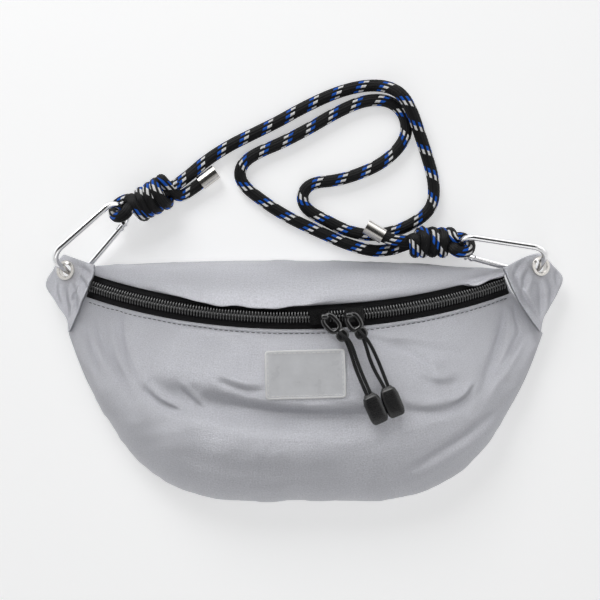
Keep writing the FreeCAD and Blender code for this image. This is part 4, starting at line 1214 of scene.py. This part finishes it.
class WAISTBAG_OT_stage(Maker):
    """Sets the pale floor, the soft lights and the camera over the bag"""
    bl_idname = "waist_bag.stage"
    bl_label = "Stage"

    def make(self, context):
        stage = context.scene.waist_bag_stage
        scene = context.scene
        scene.view_settings.view_transform = "Standard"

        data = bpy.data.cameras.new("camera")
        data.sensor_width = 36.0
        data.lens = 58.5
        data.clip_start = 0.05
        camera = placed("camera", data)
        camera.location = (*CAMERA_OVER, stage.height)
        scene.camera = camera

        floor_mesh = bpy.data.meshes.new("floor")
        corners = [(x * FLOOR_REACH, y * FLOOR_REACH, FLOOR_Z)
                   for x, y in ((-1, -1), (1, -1), (1, 1), (-1, 1))]
        floor_mesh.from_pydata(corners, [], [(0, 1, 2, 3)])
        floor = placed("floor", floor_mesh)
        cover = bpy.data.materials.new("floor_paper")
        cover.use_nodes = True
        nodes = Nodes(cover.node_tree)
        shader = cover.node_tree.nodes["Principled BSDF"]
        shader.inputs["Base Color"].default_value = (*stage.floor, 1.0)
        shader.inputs["Roughness"].default_value = 0.9
        shader.inputs["Specular IOR Level"].default_value = 0.1
        path = nodes.add("ShaderNodeLightPath").outputs
        seen = nodes.math("MAXIMUM", path["Is Camera Ray"], nodes.math(
            "MAXIMUM", path["Is Glossy Ray"], path["Is Transmission Ray"]))
        shader.inputs["Emission Color"].default_value = (1.0, 1.0, 1.0, 1.0)
        nodes.link(nodes.math("MULTIPLY", seen, 0.44), shader.inputs["Emission Strength"])
        floor_mesh.materials.append(cover)

        world = bpy.data.worlds.new("studio")
        world.use_nodes = True
        scene.world = world
        back = world.node_tree.nodes["Background"]
        world_nodes = Nodes(world.node_tree)
        path = world_nodes.add("ShaderNodeLightPath").outputs
        back.inputs["Color"].default_value = (1.0, 1.0, 1.0, 1.0)
        plain = world_nodes.math("MULTIPLY_ADD", path["Is Camera Ray"], 0.74, 0.20)
        heading = world_nodes.add("ShaderNodeSeparateXYZ", {
            0: world_nodes.add("ShaderNodeTexCoord").outputs["Generated"]}).outputs
        ceiling = world_nodes.remap(heading[2], 0.48, 0.93, 1.22, 0.04)
        ceiling = world_nodes.math("MULTIPLY", ceiling,
                                   world_nodes.remap(heading[1], -0.6, 0.8, 0.62, 1.72))
        gloss = world_nodes.math("MULTIPLY", path["Is Glossy Ray"],
                                 world_nodes.math("SUBTRACT", ceiling, plain))
        world_nodes.link(world_nodes.math("ADD", plain, gloss), back.inputs["Strength"])

        for name, place, size, power in LAMPS:
            lamp = bpy.data.lights.new(name, "AREA")
            lamp.energy = stage.light * power
            lamp.size = size
            item = placed(name, lamp)
            item.location = place
            item.rotation_euler = (LAMP_AIM - Vector(place)).to_track_quat("-Z", "Y").to_euler()


class WAISTBAG_OT_strap(Maker):
    """Lays the braided rope strap over the floor, from knot to knot"""
    bl_idname = "waist_bag.strap"
    bl_label = "Rope strap"

    def make(self, context):
        rope = context.scene.waist_bag_rope
        left = cord_line("left_strap_line", LEFT_ROUTE)
        right = cord_line("right_strap_line", RIGHT_ROUTE)
        line = np.concatenate([left, right[1:]])
        joints = [line[0], *STRAP_BENDS, line[-1]]
        pieces = {}
        for (name, nodes), *ends in zip(STRAP_PIECES.items(), joints[:-1], joints[1:]):
            item, centres = braided_cord(name, line, rope.radius, "rope", rope.strands * 2,
                                         rope.pick,
                                         rope.relief, ends=ends)
            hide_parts(*nodes)
            pieces[name] = item, centres
        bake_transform(pieces["left_strap"][0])
        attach(pieces["middle_strap"][0], "bag")
        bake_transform(pieces["right_strap"][0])


class WAISTBAG_OT_knots(Maker):
    """Ties the strap's ends round the carabiners, with tails in metal ferrules"""
    bl_idname = "waist_bag.knots"
    bl_label = "Knots and tails"

    def make(self, context):
        rope = context.scene.waist_bag_rope
        for side in ("left", "right"):
            route = knot_route(side)
            line = cord_line(f"{side}_knot_line", route)
            item, centres = braided_cord(f"{side}_knot_and_tail", line, rope.radius * 0.985, "rope",
                                         rope.strands * 2, rope.pick, rope.relief)
            settle(item, f"{side}_carabiner", "rope", f"{side}_knot", f"{side}_tail")


class WAISTBAG_OT_body(Maker):
    """Sews the front, the gusset, the back and the linings"""
    bl_idname = "waist_bag.body"
    bl_label = "Bag body"

    def make(self, context):
        thick = context.scene.waist_bag_cloth.thickness / MM
        front = thick_sheet("front", front_grid(), thick, "nylon", (0, 0, 1))
        settle(front, "bag", "grey_nylon", "front_panel", "front_lining")
        SKINS["front"] = skin_of(front)
        self.gusset(thick)
        self.back()
        self.linings()

    def gusset(self, thick):
        """The panel between the zip and the strap edge, puffed out over the zip's rear tape."""
        columns, rows = 260, 70
        along, up_share = np.meshgrid(np.linspace(0, 1, columns), np.linspace(0, 1, rows))
        grid = gusset_surface(along, up_share)
        normal = upward_normals(grid, rows // 3, columns // 2)
        x, y = grid[..., 0], grid[..., 1]
        height = soft_noise(x, y, 30.0, 21) * 0.9 + fold_along(along, up_share, 0.25, 8) * 0.5
        height += fold_along(along, 1 - up_share, 0.3, 12) * 0.3
        for fold in GUSSET_CREASES:
            height += crease(x, y, *fold)
        edges = np.clip(up_share / 0.12, 0, 1) * np.clip((1 - up_share) / 0.06, 0, 1)
        edges *= np.clip(along / 0.05, 0, 1) * np.clip((1 - along) / 0.05, 0, 1)
        grid = grid + normal * (height * edges)[..., None]
        puff = sum(1.2 * np.exp(-((x - middle) / half) ** 4) for middle, half in GUSSET_PUFFS)
        puff *= 1 + 0.12 * np.sin(x / 5.2) + 0.08 * np.sin(x / 2.9 + 1)
        over = np.exp(-((up_share - 0.07) / 0.06) ** 2)
        grid[..., 1] -= 3.4 * puff * over
        grid[..., 2] += 1.3 * puff * over
        gusset = thick_sheet("gusset", grid, thick, "nylon", (0, 0.3, 1))
        settle(gusset, "bag", "grey_nylon", "top_panel", "top_lining")

    def back(self):
        """The flat panel that the bag lies on, with a lifted rim."""
        outline = np.concatenate([BOTTOM[:-1], TOP_EDGE[::-1][:-1]])
        outline = even_steps(np.concatenate([outline, outline[:1]]), 1.6)[0][:-1]
        centre = np.array([0.0, 2.0, 0.0])
        shares = np.concatenate([np.linspace(0.04, 0.9, 40), np.linspace(0.915, 0.985, 8)])
        rings = centre + (outline - centre)[None] * shares[:, None, None]
        x, y = rings[..., 0], rings[..., 1]
        rise = np.clip((shares - 0.90) / 0.085, 0, 1)[:, None] ** 2
        low = lift(x) + 0.35 + rise * 0.4 + np.maximum(soft_noise(x, y, 26.0, 31), 0) * 0.5
        rings[..., 2] = low
        upper = rings[::-1].copy()
        upper[..., 2] += 0.75
        stack = np.concatenate([rings, upper])
        count, around = stack.shape[:2]
        points = np.concatenate([stack.reshape(-1, 3), [[0, 2, stack[0, :, 2].mean()]],
                                 [[0, 2, stack[-1, :, 2].mean()]]])
        faces = grid_faces(count, around, wrap=True)
        last = (count - 1) * around
        for index in range(around):
            after = (index + 1) % around
            faces.append((after, index, count * around))
            faces.append((last + index, last + after, count * around + 1))
        back = piece("back", points, faces, "nylon", points[:, :2] * MM)
        face_out(back)
        settle(back, "bag", "grey_nylon", "back_panel", "back_lining")

    def linings(self):
        """Dark cloth under the front and the gusset, sunk wherever the front's folds reach down."""
        for name, surface in (("front_inside", front_surface), ("gusset_inside", gusset_surface)):
            along, across = np.meshgrid(np.linspace(0.05, 0.95, 90), np.linspace(0, 0.97, 30))
            grid = surface(along, across)
            normal = upward_normals(grid, 12, 45)
            if surface is front_surface:
                sunk = -sum(crease(grid[..., 0], grid[..., 1], *fold) for fold in FRONT_CREASES)
                grid = grid - normal * np.maximum(sunk, 0)[..., None]
            settle(thick_sheet(name, grid - normal * 2.4, 0.4, "lining", (0, 0, 1)), "bag",
                   "lining_fabric")


class WAISTBAG_OT_zip(Maker):
    """Weaves the zip's tapes and sets the teeth of its coil"""
    bl_idname = "waist_bag.zip"
    bl_label = "Zip"

    def make(self, context):
        zip_look = context.scene.waist_bag_zip
        angles = np.radians(np.linspace(-ZIP_LEFT, ZIP_RIGHT, 240))
        for side, sign in (("front", 1), ("rear", -1)):
            widths = sign * np.array([0.25, 1.5, 3.0, 4.4, 5.6, 6.8, 7.8, 8.7])
            heights = np.array([-1.5, -1.5, -1.5, -1.5, -1.52, -1.55, -1.6, -1.7])
            grid = np.stack([zip_place(angles, np.full_like(angles, w), np.full_like(angles, h))
                             for w, h in zip(widths, heights)])
            tape = thick_sheet(f"zip_tape_{side}_cloth", grid, 0.5, "tape", ZIP_UP * 0.6 + ZIP_AXIS)
            settle(tape, "bag", "zip_tape", f"zip_tape_{side}")

            holder = piece(f"zip_teeth_{side}", [(0, 0, 0)], [], "coil")
            pitch = zip_look.tooth_pitch / (ZIP_RADIUS * MM)
            teeth = int(math.radians(ZIP_LEFT + ZIP_RIGHT) / pitch) - 1
            turn = Matrix(((0, 1, 0), (-0.6, 0, 0.8), (0.8, 0, 0.6))).to_euler()
            start = -math.radians(ZIP_LEFT) + pitch * (0.5 if side == "front" else 1.0)
            run_tree(holder, tree("coil_teeth"), {
                "Teeth": teeth, "Step": pitch, "Start": start, "Radius": ZIP_RADIUS * MM,
                "Side": float(sign), "Reach": 0.0036, "Wire": zip_look.wire,
                "Lean": math.asin(0.8), "Centre": tuple(ZIP_CENTRE * MM),
                "Turn": tuple(turn), "Material": material("coil"),
            })
            settle(holder, "bag", "zip_coil", f"zip_coil_{side}")


def stitches(name, line, pitch, thread, word, body, slot, closed=False):
    """A run of stitches along a line in millimetres."""
    mesh = bpy.data.meshes.new(name)
    edges = [(index, index + 1) for index in range(len(line) - 1)]
    if closed:
        edges.append((len(line) - 1, 0))
    mesh.from_pydata([tuple(place) for place in np.asarray(line) * MM], edges, [])
    item = placed(name, mesh)
    run_tree(item, tree("stitches"), {"Pitch": pitch, "Thread": thread, "Material": material(word)})
    return settle(item, body, slot)


class WAISTBAG_OT_stitches(Maker):
    """Sews the top stitches beside the zip"""
    bl_idname = "waist_bag.stitches"
    bl_label = "Top stitches"

    def make(self, context):
        cloth = context.scene.waist_bag_cloth
        along = np.linspace(0.02, 0.98, 300)
        inset = cloth.stitch_inset / MM
        fine = np.linspace(0, 0.4, 200)
        line = []
        for part in along:
            run = front_surface(np.full_like(fine, part), fine)
            reach = reaches(run)
            line.append([np.interp(inset, reach, run[:, axis]) for axis in range(3)])
        seated_line = []
        for place in line:
            near = SKINS["front"].find_nearest(Vector(place) * MM)
            seated_line.append(np.array(near[0] + near[1] * 0.00012) / MM)
        stitches("front_top_stitches", seated_line, cloth.stitch_pitch, 0.00034, "top_thread",
                 "bag", "grey_nylon")


def rounded_frame(half_width, half_height, corner, count=10):
    """Corners and sides of a rounded rectangle, as plane points."""
    places = []
    for x, y, start in ((1, 1, 0), (-1, 1, 90), (-1, -1, 180), (1, -1, 270)):
        for turn in np.radians(np.linspace(start, start + 90, count)):
            places.append((x * (half_width - corner) + corner * math.cos(turn),
                           y * (half_height - corner) + corner * math.sin(turn)))
    return np.array(places)


LABEL_TURN, LABEL_MIDDLE = math.radians(1.5), np.array([-0.3, 7.4])
# The label's face from its edge inwards: how far in, and how high over the front.
LABEL_PROFILE = [
    (0.0, 0.05), (0.0, 0.62), (0.12, 0.86), (0.4, 0.98), (0.9, 0.98), (1.15, 0.84),
    (1.4, 0.66), (3.6, 0.62), (4.0, 0.52), (8.0, 0.5), (11.5, 0.5),
]


class WAISTBAG_OT_label(Maker):
    """Sews the plain vinyl label on the front"""
    bl_idname = "waist_bag.label"
    bl_label = "Label"

    def make(self, context):
        look = context.scene.waist_bag_label
        cosine, sine = math.cos(LABEL_TURN), math.sin(LABEL_TURN)
        swing = np.array([[cosine, -sine], [sine, cosine]])

        def lay(flat, above):
            flat = np.asarray(flat)
            places = flat @ swing.T + LABEL_MIDDLE
            seats = [laid_on(SKINS["front"], *place) for place in places]
            rest = np.array([seat[0] for seat in seats])
            smooth_z = np.array([np.mean([laid_on(SKINS["front"], px + dx, py + dy)[0][2]
                                          for dx in (-3, 0, 3) for dy in (-3, 0, 3)])
                                 for px, py in places])
            rest[:, 2] = np.maximum(rest[:, 2], smooth_z)
            return rest + np.array([0, 0, 1.0]) * np.asarray(above)[:, None]

        rings = []
        for inward, above in LABEL_PROFILE:
            frame_line = rounded_frame(25 - inward, 15 - inward, max(1.6 - inward, 0.35), 9)
            edge = even_steps(np.pad(np.concatenate([frame_line, frame_line[:1]]),
                                     ((0, 0), (0, 1))), 1.6)[0]
            edge = line_at(edge, np.linspace(0, 1, 97))[:-1, :2]
            rings.append(lay(edge, np.full(len(edge), above)))
        around = len(rings[0])
        points = np.concatenate([np.concatenate(rings), [np.mean(rings[-1], axis=0)]])
        faces = grid_faces(len(rings), around, wrap=True)
        last = (len(rings) - 1) * around
        faces += [(last + index, last + (index + 1) % around, len(points) - 1)
                  for index in range(around)]
        label = piece("label", points, faces, "label_face", points[:, :2] * MM)
        label.data.materials.append(material("label_rim"))
        for face in label.data.polygons:
            if face.index < 5 * around:
                face.material_index = 1
        settle(label, "bag", "label_vinyl", "label_patch")
        frame_line = rounded_frame(23.1, 13.1, 0.8, 6)
        frame_line = np.pad(np.concatenate([frame_line, frame_line[:1]]), ((0, 0), (0, 1)))
        seam = even_steps(frame_line, 1.0)[0][:-1, :2]
        path = lay(seam, np.full(len(seam), 0.72))
        stitches("label_stitches", path, look.stitch_pitch, 0.00028, "label_thread", "bag",
                 "label_vinyl", True)


TAB_SLOPE = {"left": -math.radians(18.5), "right": math.radians(18.5)}
EYELET_HOLE = 0.00462


def tab_place(side, flat, height):
    """Points of a tab's plane, given from its eyelet."""
    eyelet = np.array(CARABINERS[side][0])
    slope = TAB_SLOPE[side]
    x = flat[..., 0] * math.cos(slope) + height * math.sin(slope)
    z = -flat[..., 0] * math.sin(slope) + height * math.cos(slope)
    return eyelet + np.stack([x, flat[..., 1], z], axis=-1)


# Each tab's two long sides, from the strap edge to its foot: the free side and the bag's side.
TAB_SIDES = {
    "left": ([(-2.3, 10.5), (-6.6, 6.4), (-10.6, 0.1), (-14.2, -4.6), (-15.6, -9.4), (-10.6, -17.4),
              (-4.6, -25.6), (1.0, -33.0), (1.6, -39.8)],
             [(20.4, 3.2), (20.6, -1.0), (19.0, -5.4), (15.6, -12.6), (12.0, -20.2), (8.4, -28.0),
              (5.4, -34.2), (3.0, -38.6), (2.0, -40.2)]),
    "right": ([(-12.0, 5.6), (2.2, 7.6), (8.6, 2.0), (14.4, -3.2), (17.4, -7.2), (15.6, -13.4),
               (12.2, -19.2), (7.8, -26.0), (3.6, -31.6), (0.6, -42.0)],
              [(-26.6, -1.6), (-25.4, -4.4), (-23.4, -8.6), (-20.4, -14.6), (-16.6, -21.0),
               (-12.4, -27.2),
               (-8.4, -32.6), (-5.0, -36.8), (-2.0, -40.2), (-0.2, -42.4)]),
}


# The creases of each tab, from its eyelet: line, width, depth and ridge.
TAB_CREASES = {
    "left": [([(-2, -8), (0, -18), (2, -30)], 1.9, 1.1, 0.9),
             ([(4, -7), (7, -16), (7, -26)], 1.7, 1.0, 0.9),
             ([(-6, -8), (-7, -14), (-4, -22)], 1.5, 0.8, 0.8),
             ([(8, 2), (14, 0), (19, -3)], 1.8, 0.8, 0.8),
             ([(9, -4), (14, -9), (16, -13)], 1.6, 0.9, 0.8),
             ([(13, 1), (9, -10), (5, -20), (1, -32)], 0.9, 0.8, 0.9)],
    "right": [([(-2, -8), (0, -20), (0, -34)], 2.0, 1.1, 0.9),
              ([(5, -7), (8, -14), (7, -24)], 1.7, 0.9, 0.8),
              ([(-8, -3), (-13, -12), (-10, -26)], 2.0, 1.2, 0.9),
              ([(-12, 3), (-18, -4), (-16, -16)], 1.8, 1.0, 0.9),
              ([(9, 0), (12, -6), (11, -14)], 1.4, 0.7, 0.8),
              ([(-21.5, -1.9), (-16.5, -12.1), (-8.5, -24.7), (-1.1, -34.3)], 1.0, 1.0, 0.9)],
}


class WAISTBAG_OT_tabs(Maker):
    """Folds the two end tabs and closes the bag's side seams"""
    bl_idname = "waist_bag.tabs"
    bl_label = "End tabs"

    def make(self, context):
        for side in ("left", "right"):
            free, sewn = (smooth_through(line, 90)[:, :2] for line in TAB_SIDES[side])
            rows = 90
            free = line_at(np.pad(free, ((0, 0), (0, 1))), np.linspace(0, 1, rows))[:, :2]
            sewn = line_at(np.pad(sewn, ((0, 0), (0, 1))), np.linspace(0, 1, rows))[:, :2]
            across = np.linspace(0, 1, 60)
            flat = free[:, None] + (sewn - free)[:, None] * across[None, :, None]
            x, y = flat[..., 0], flat[..., 1]
            reach = np.hypot(x, y)
            height = np.zeros_like(x)
            for fold in TAB_CREASES[side]:
                height += crease(x, y, *fold)
            height += soft_noise(x, y, 12.0, 41) * 0.4
            height *= np.clip((reach - 7.5) / 4.0, 0, 1)
            edge = np.clip(across / 0.06, 0, 1) ** 0.5
            top = tab_place(side, flat, 1.15 * edge[None] + np.maximum(height, -1.0) * edge[None])
            low = tab_place(side, flat,
                            -1.15 * edge[None] + np.minimum(height, 0) * 0.4 * edge[None])
            count, wide = top.shape[:2]
            points = np.concatenate([top.reshape(-1, 3), low.reshape(-1, 3)])
            faces = grid_faces(count, wide) + grid_faces(count, wide, count * wide, flip=True)
            faces += rim_faces(count, wide)
            flat_map = np.concatenate([flat.reshape(-1, 2)] * 2) * MM
            tab = piece(f"{side}_tab_cloth", points, faces, "nylon", flat_map)
            face_out(tab)
            self.punch(tab, side)
            settle(tab, "bag", "grey_nylon", f"{side}_tab")
            self.side_wall(side)

    def punch(self, tab, side):
        """Cuts the eyelet's hole."""
        work = bmesh.new()
        bmesh.ops.create_cone(work, cap_ends=True, segments=48, radius1=EYELET_HOLE,
                              radius2=EYELET_HOLE, depth=0.02)
        mesh = bpy.data.meshes.new("punch")
        work.to_mesh(mesh)
        work.free()
        cutter = placed("punch", mesh)
        turn = Matrix.Rotation(TAB_SLOPE[side], 4, "Y")
        mesh.transform(Matrix.Translation(Vector(CARABINERS[side][0]) * MM) @ turn)
        cut = tab.modifiers.new("hole", "BOOLEAN")
        cut.operation = "DIFFERENCE"
        cut.object = cutter
        cut.solver = "EXACT"
        baked(tab)
        bpy.data.objects.remove(cutter)
        bpy.data.meshes.remove(mesh)

    def side_wall(self, side):
        """The cloth from the back's side seam to the ends of the front, the zip and the gusset."""
        at = 0.0 if side == "left" else 1.0
        steps = np.linspace(1, 0, 24)
        front = front_surface(np.full(24, at), steps)
        middle = zip_place(np.full(8, edge_angle(at)), np.linspace(6, -6, 8), np.full(8, -1.4))
        gusset = gusset_surface(np.full(14, at), np.linspace(0, 1, 14))
        rim = np.concatenate([front[:-1], middle, gusset[1:]])
        foot, head = rim[0], rim[-1]
        share_along = reaches(rim[:, :2])
        share_along /= share_along[-1]
        seam = foot + (head - foot) * share_along[:, None]
        seam[:, 2] = lift(seam[:, 0]) + 0.7
        out = np.array([-1.0 if side == "left" else 1.0, 0.25, 0.0])
        across = np.linspace(0, 1, 12)
        grid = rim[None] * (1 - across[:, None, None]) + seam[None] * across[:, None, None]
        bulge = (np.sin(np.pi * across)[:, None, None]
                 * (rim[:, 2] - seam[:, 2])[None, :, None] * 0.12)
        grid = grid + out * bulge
        grid[:, :, 2] -= 0.3
        wall = thick_sheet(f"{side}_side_wall", grid, 0.6, "nylon", out)
        settle(wall, "bag", "grey_nylon")


# In plan: each pull's eye, a point halfway down its cord and its cord end's two ends; then its
# slider's angle on the zip in degrees, and how far its cord's two strands part.
PULLS = {
    "left": ((22.6, 31.4), (31.6, 11.5), (38.4, -4.3), (46.3, -22.1), 3.3, 1.3),
    "right": ((34.3, 32.6), (42.6, 14.5), (49.3, 0.0), (56.6, -18.1), 7.8, 2.5),
}
# The pin over the zip: coil, gap, slider plate, bar, its play, and the knuckle's wall and gap.
PIN_HEIGHT = 1.2 + 0.35 + 1.2 + 0.8 + 0.1 + 0.9 + 0.3
UP = np.array([0.0, 0.0, 1.0])


def circle(count):
    """Cosine and sine of evenly spaced angles."""
    return [(math.cos(turn), math.sin(turn))
            for turn in np.linspace(0, math.tau, count, endpoint=False)]


def plain_front(x, y):
    """A point of the front without its creases."""
    along, down = (x + HALF_WIDTH) / (2 * HALF_WIDTH), 0.5
    step = 1e-4
    for _ in range(12):
        here = front_surface(np.array(along), np.array(down))
        by_along = (front_surface(np.array(along + step), np.array(down)) - here) / step
        by_down = (front_surface(np.array(along), np.array(down + step)) - here) / step
        miss = np.array([x, y]) - here[:2]
        scale = by_along[0] * by_down[1] - by_along[1] * by_down[0]
        along += (miss[0] * by_down[1] - miss[1] * by_down[0]) / scale
        down += (miss[1] * by_along[0] - miss[0] * by_along[1]) / scale
        along, down = min(max(along, 0.0), 1 - step), min(max(down, 0.0), 1 - step)
    return front_surface(np.array(along), np.array(down))


class WAISTBAG_OT_pulls(Maker):
    """Makes the sliders' pull rings with their cords and cord ends"""
    bl_idname = "waist_bag.pulls"
    bl_label = "Pulls"

    def make(self, context):
        look = context.scene.waist_bag_pulls
        for side in ("left", "right"):
            eye, halfway, entry, tip, angle, spread = PULLS[side]
            eye_point = plain_front(*eye) + UP * 5.6
            entry_point = plain_front(*entry) + UP * 5.5
            half_point = plain_front(*halfway) + UP * (1.15 + 1.7)
            sign = 1 if side == "left" else -1
            radians = math.radians(angle)
            along_zip = np.array([1.0, 0.0, 0.0]) * math.cos(radians) - ZIP_UP * math.sin(radians)
            out = zip_radial(np.array(radians)) * 0.8 + ZIP_AXIS * 0.6
            pin = zip_place(np.array(radians)) + along_zip * (sign * 3.5) + out * PIN_HEIGHT
            down = (eye_point - pin) / np.linalg.norm(eye_point - pin)
            sideways = np.cross(UP, down)
            sideways /= np.linalg.norm(sideways)
            face = np.cross(down, sideways)
            self.ring(side, pin, eye_point, down, sideways, face, along_zip, look)

            loop = 2.3
            turn = eye_point - down * 0.6
            far = plain_front(*tip) + UP * 5.5
            block = (far - entry_point) / np.linalg.norm(far - entry_point)
            block_side = np.cross(UP, block)
            block_side /= np.linalg.norm(block_side)
            route = [
                entry_point + block * 3.0 + block_side * 1.2,
                entry_point + block_side * 1.2,
                half_point + sideways * spread + face,
                turn + down * (loop * 3) + face * loop + sideways * 1.2,
                turn + down * 0.6 + face * loop,
                turn - down * (loop * 0.9) + face * 0.6,
                turn - down * (loop * 0.9) - face * 0.6,
                turn + down * 0.6 - face * loop,
                turn + down * (loop * 3) - face * loop - sideways * 1.2,
                half_point - sideways * spread,
                entry_point - block_side * 1.2,
                entry_point + block * 3.0 - block_side * 1.2,
            ]
            route = [tuple(place * MM) for place in route]
            line = cord_line(f"{side}_pull_line", route)
            item, centres = braided_cord(f"{side}_pull_string", line, look.cord_radius, "pull_cord",
                                         8, 0.0011,
                                         0.00012, per_rib=3)
            settle(item, f"{side}_pull", "pull_cord", f"{side}_pull_cord")
            self.cord_end(side, entry_point, block, block_side)

    def ring(self, side, pin, eye_point, down, sideways, face, along_zip, look):
        """An open oval ring with a barrel on the slider's bar and an eye for the cord."""
        reach = np.linalg.norm(eye_point - pin)
        wire = look.ring_wire / MM
        parts = []
        for centre, half_long, half_wide in (
            (pin + down * (reach * 0.30 + 1.0), reach * 0.30 + 0.8, 3.7),
            (pin + down * (reach - 0.2), 2.3, 2.6),
        ):
            ring = []
            for cosine, sine in circle(40):
                square = (abs(cosine) ** 3 + abs(sine) ** 3) ** (-1 / 3)
                ring.append(centre + down * (half_long * cosine * square)
                            + sideways * (half_wide * sine * square))
            ring = np.array(ring)
            heading = np.roll(ring, -1, axis=0) - np.roll(ring, 1, axis=0)
            heading /= np.linalg.norm(heading, axis=1, keepdims=True)
            across = np.cross(heading, face)
            tube = [ring + across * (wire * 1.25 * cosine) + face * (wire * 0.85 * sine)
                    for cosine, sine in circle(12)]
            parts.append((np.stack(tube, axis=1), True))
        bar_start = pin + down * (reach * 0.6 + 1.4)
        bar = np.array([bar_start + sideways * step for step in np.linspace(-3.0, 3.0, 6)])
        bar_tube = [bar + down * (1.1 * cosine) + face * (wire * 0.8 * sine)
                    for cosine, sine in circle(12)]
        parts.append((np.stack(bar_tube, axis=1), False))
        second = np.cross(along_zip, face)
        second /= np.linalg.norm(second)
        barrel = np.array([pin + along_zip * step for step in np.linspace(-2.0, 2.0, 5)])
        tube = [barrel + face * (1.8 * cosine) + second * (1.8 * sine)
                for cosine, sine in circle(20)]
        parts.append((np.stack(tube, axis=1), False))
        points, faces = [], []
        start = 0
        for tube, closed in parts:
            rows, columns = tube.shape[:2]
            ring = np.concatenate([tube, tube[:1]]) if closed else tube
            points.append(ring.reshape(-1, 3))
            faces += grid_faces(len(ring), columns, start, wrap=True)
            if not closed:
                faces.append(tuple(start + column for column in range(columns)))
                faces.append(tuple(start + (rows - 1) * columns + column
                                   for column in reversed(range(columns))))
            start += len(ring) * columns
        item = piece(f"{side}_pull_ring", np.concatenate(points), faces, "black_metal")
        face_out(item)
        settle(item, f"{side}_pull", "black_metal", f"{side}_pull_tab")

    def cord_end(self, side, entry, along, across):
        """A moulded end with a waisted mouth, flat faces and a soft bevel."""
        long, wide, deep = 19.5, 5.6, 3.8
        over = np.cross(along, across)
        rows = []
        for reach, half_wide, half_deep in (
            (0.1, 2.7, 1.9), (0.3, 3.2, 2.3), (1.6, 3.8, 2.7), (2.2, 4.6, 3.2),
            (4.2, 5.2, 3.55), (6.0, wide, deep), (12.0, wide, deep), (15.0, wide, deep),
            (17.6, 5.2, 3.5), (19.0, 4.4, 2.9), (long, 3.4, 2.1),
        ):
            ring = []
            for cosine, sine in circle(48):
                square = (abs(cosine) ** 5 + abs(sine) ** 5) ** (-1 / 5)
                ring.append(entry + along * reach + across * (half_wide * cosine * square)
                            + over * (half_deep * sine * square))
            rows.append(ring)
        stack = np.array(rows)
        count, around = stack.shape[:2]
        faces = grid_faces(count, around, wrap=True)
        faces.append(tuple(range(around)))
        faces.append(tuple((count - 1) * around + index for index in reversed(range(around))))
        item = piece(f"{side}_cord_stop", stack.reshape(-1, 3), faces, "black_plastic")
        face_out(item)
        bevel = item.modifiers.new("bevel", "BEVEL")
        bevel.width = 0.0003
        bevel.segments = 2
        bevel.angle_limit = math.radians(24)
        settle(item, f"{side}_pull", "black_plastic", f"{side}_cord_end")


class WAISTBAG_OT_fittings(Maker):
    """Polishes the carabiners, eyelets, ferrules and sliders"""
    bl_idname = "waist_bag.fittings"
    bl_label = "Fittings"

    def make(self, context):
        for side in ("left", "right"):
            for node in ("carabiner_frame", "gate", "gate_rivet"):
                dress(f"{side}_{node}", "steel")
            for node in ("eyelet", "eyelet_washer", "ferrule"):
                dress(f"{side}_{node}", "nickel")
            dress(f"{side}_slider", "black_metal")


OPERATORS = (
    WAISTBAG_OT_stage, WAISTBAG_OT_strap, WAISTBAG_OT_knots, WAISTBAG_OT_body, WAISTBAG_OT_zip,
    WAISTBAG_OT_stitches, WAISTBAG_OT_label, WAISTBAG_OT_tabs, WAISTBAG_OT_pulls,
    WAISTBAG_OT_fittings,
)


class WAISTBAG_PT_panel(bpy.types.Panel):
    """Lists the waist bag's sizes, colours and pieces"""
    bl_idname = "WAISTBAG_PT_panel"
    bl_label = "Waist bag"
    bl_space_type = "VIEW_3D"
    bl_region_type = "UI"
    bl_category = "Waist bag"

    def draw(self, context):
        for word, group in GROUPS.items():
            box = self.layout.box()
            for setting in group.__annotations__:
                box.prop(getattr(context.scene, word), setting)
        for operator in OPERATORS:
            self.layout.operator(operator.bl_idname)


def register():
    for word, group in GROUPS.items():
        bpy.utils.register_class(group)
        setattr(bpy.types.Scene, word, bpy.props.PointerProperty(type=group))
    for item in (*OPERATORS, WAISTBAG_PT_panel):
        bpy.utils.register_class(item)


def unregister():
    for item in (WAISTBAG_PT_panel, *reversed(OPERATORS)):
        bpy.utils.unregister_class(item)
    for word, group in reversed(GROUPS.items()):
        delattr(bpy.types.Scene, word)
        bpy.utils.unregister_class(group)


def main():
    register()
    bpy.ops.waist_bag.stage()
    bpy.ops.waist_bag.strap()
    bpy.ops.waist_bag.knots()
    bpy.ops.waist_bag.body()
    bpy.ops.waist_bag.zip()
    bpy.ops.waist_bag.stitches()
    bpy.ops.waist_bag.label()
    bpy.ops.waist_bag.tabs()
    bpy.ops.waist_bag.pulls()
    bpy.ops.waist_bag.fittings()


if __name__ == "__main__":
    main()
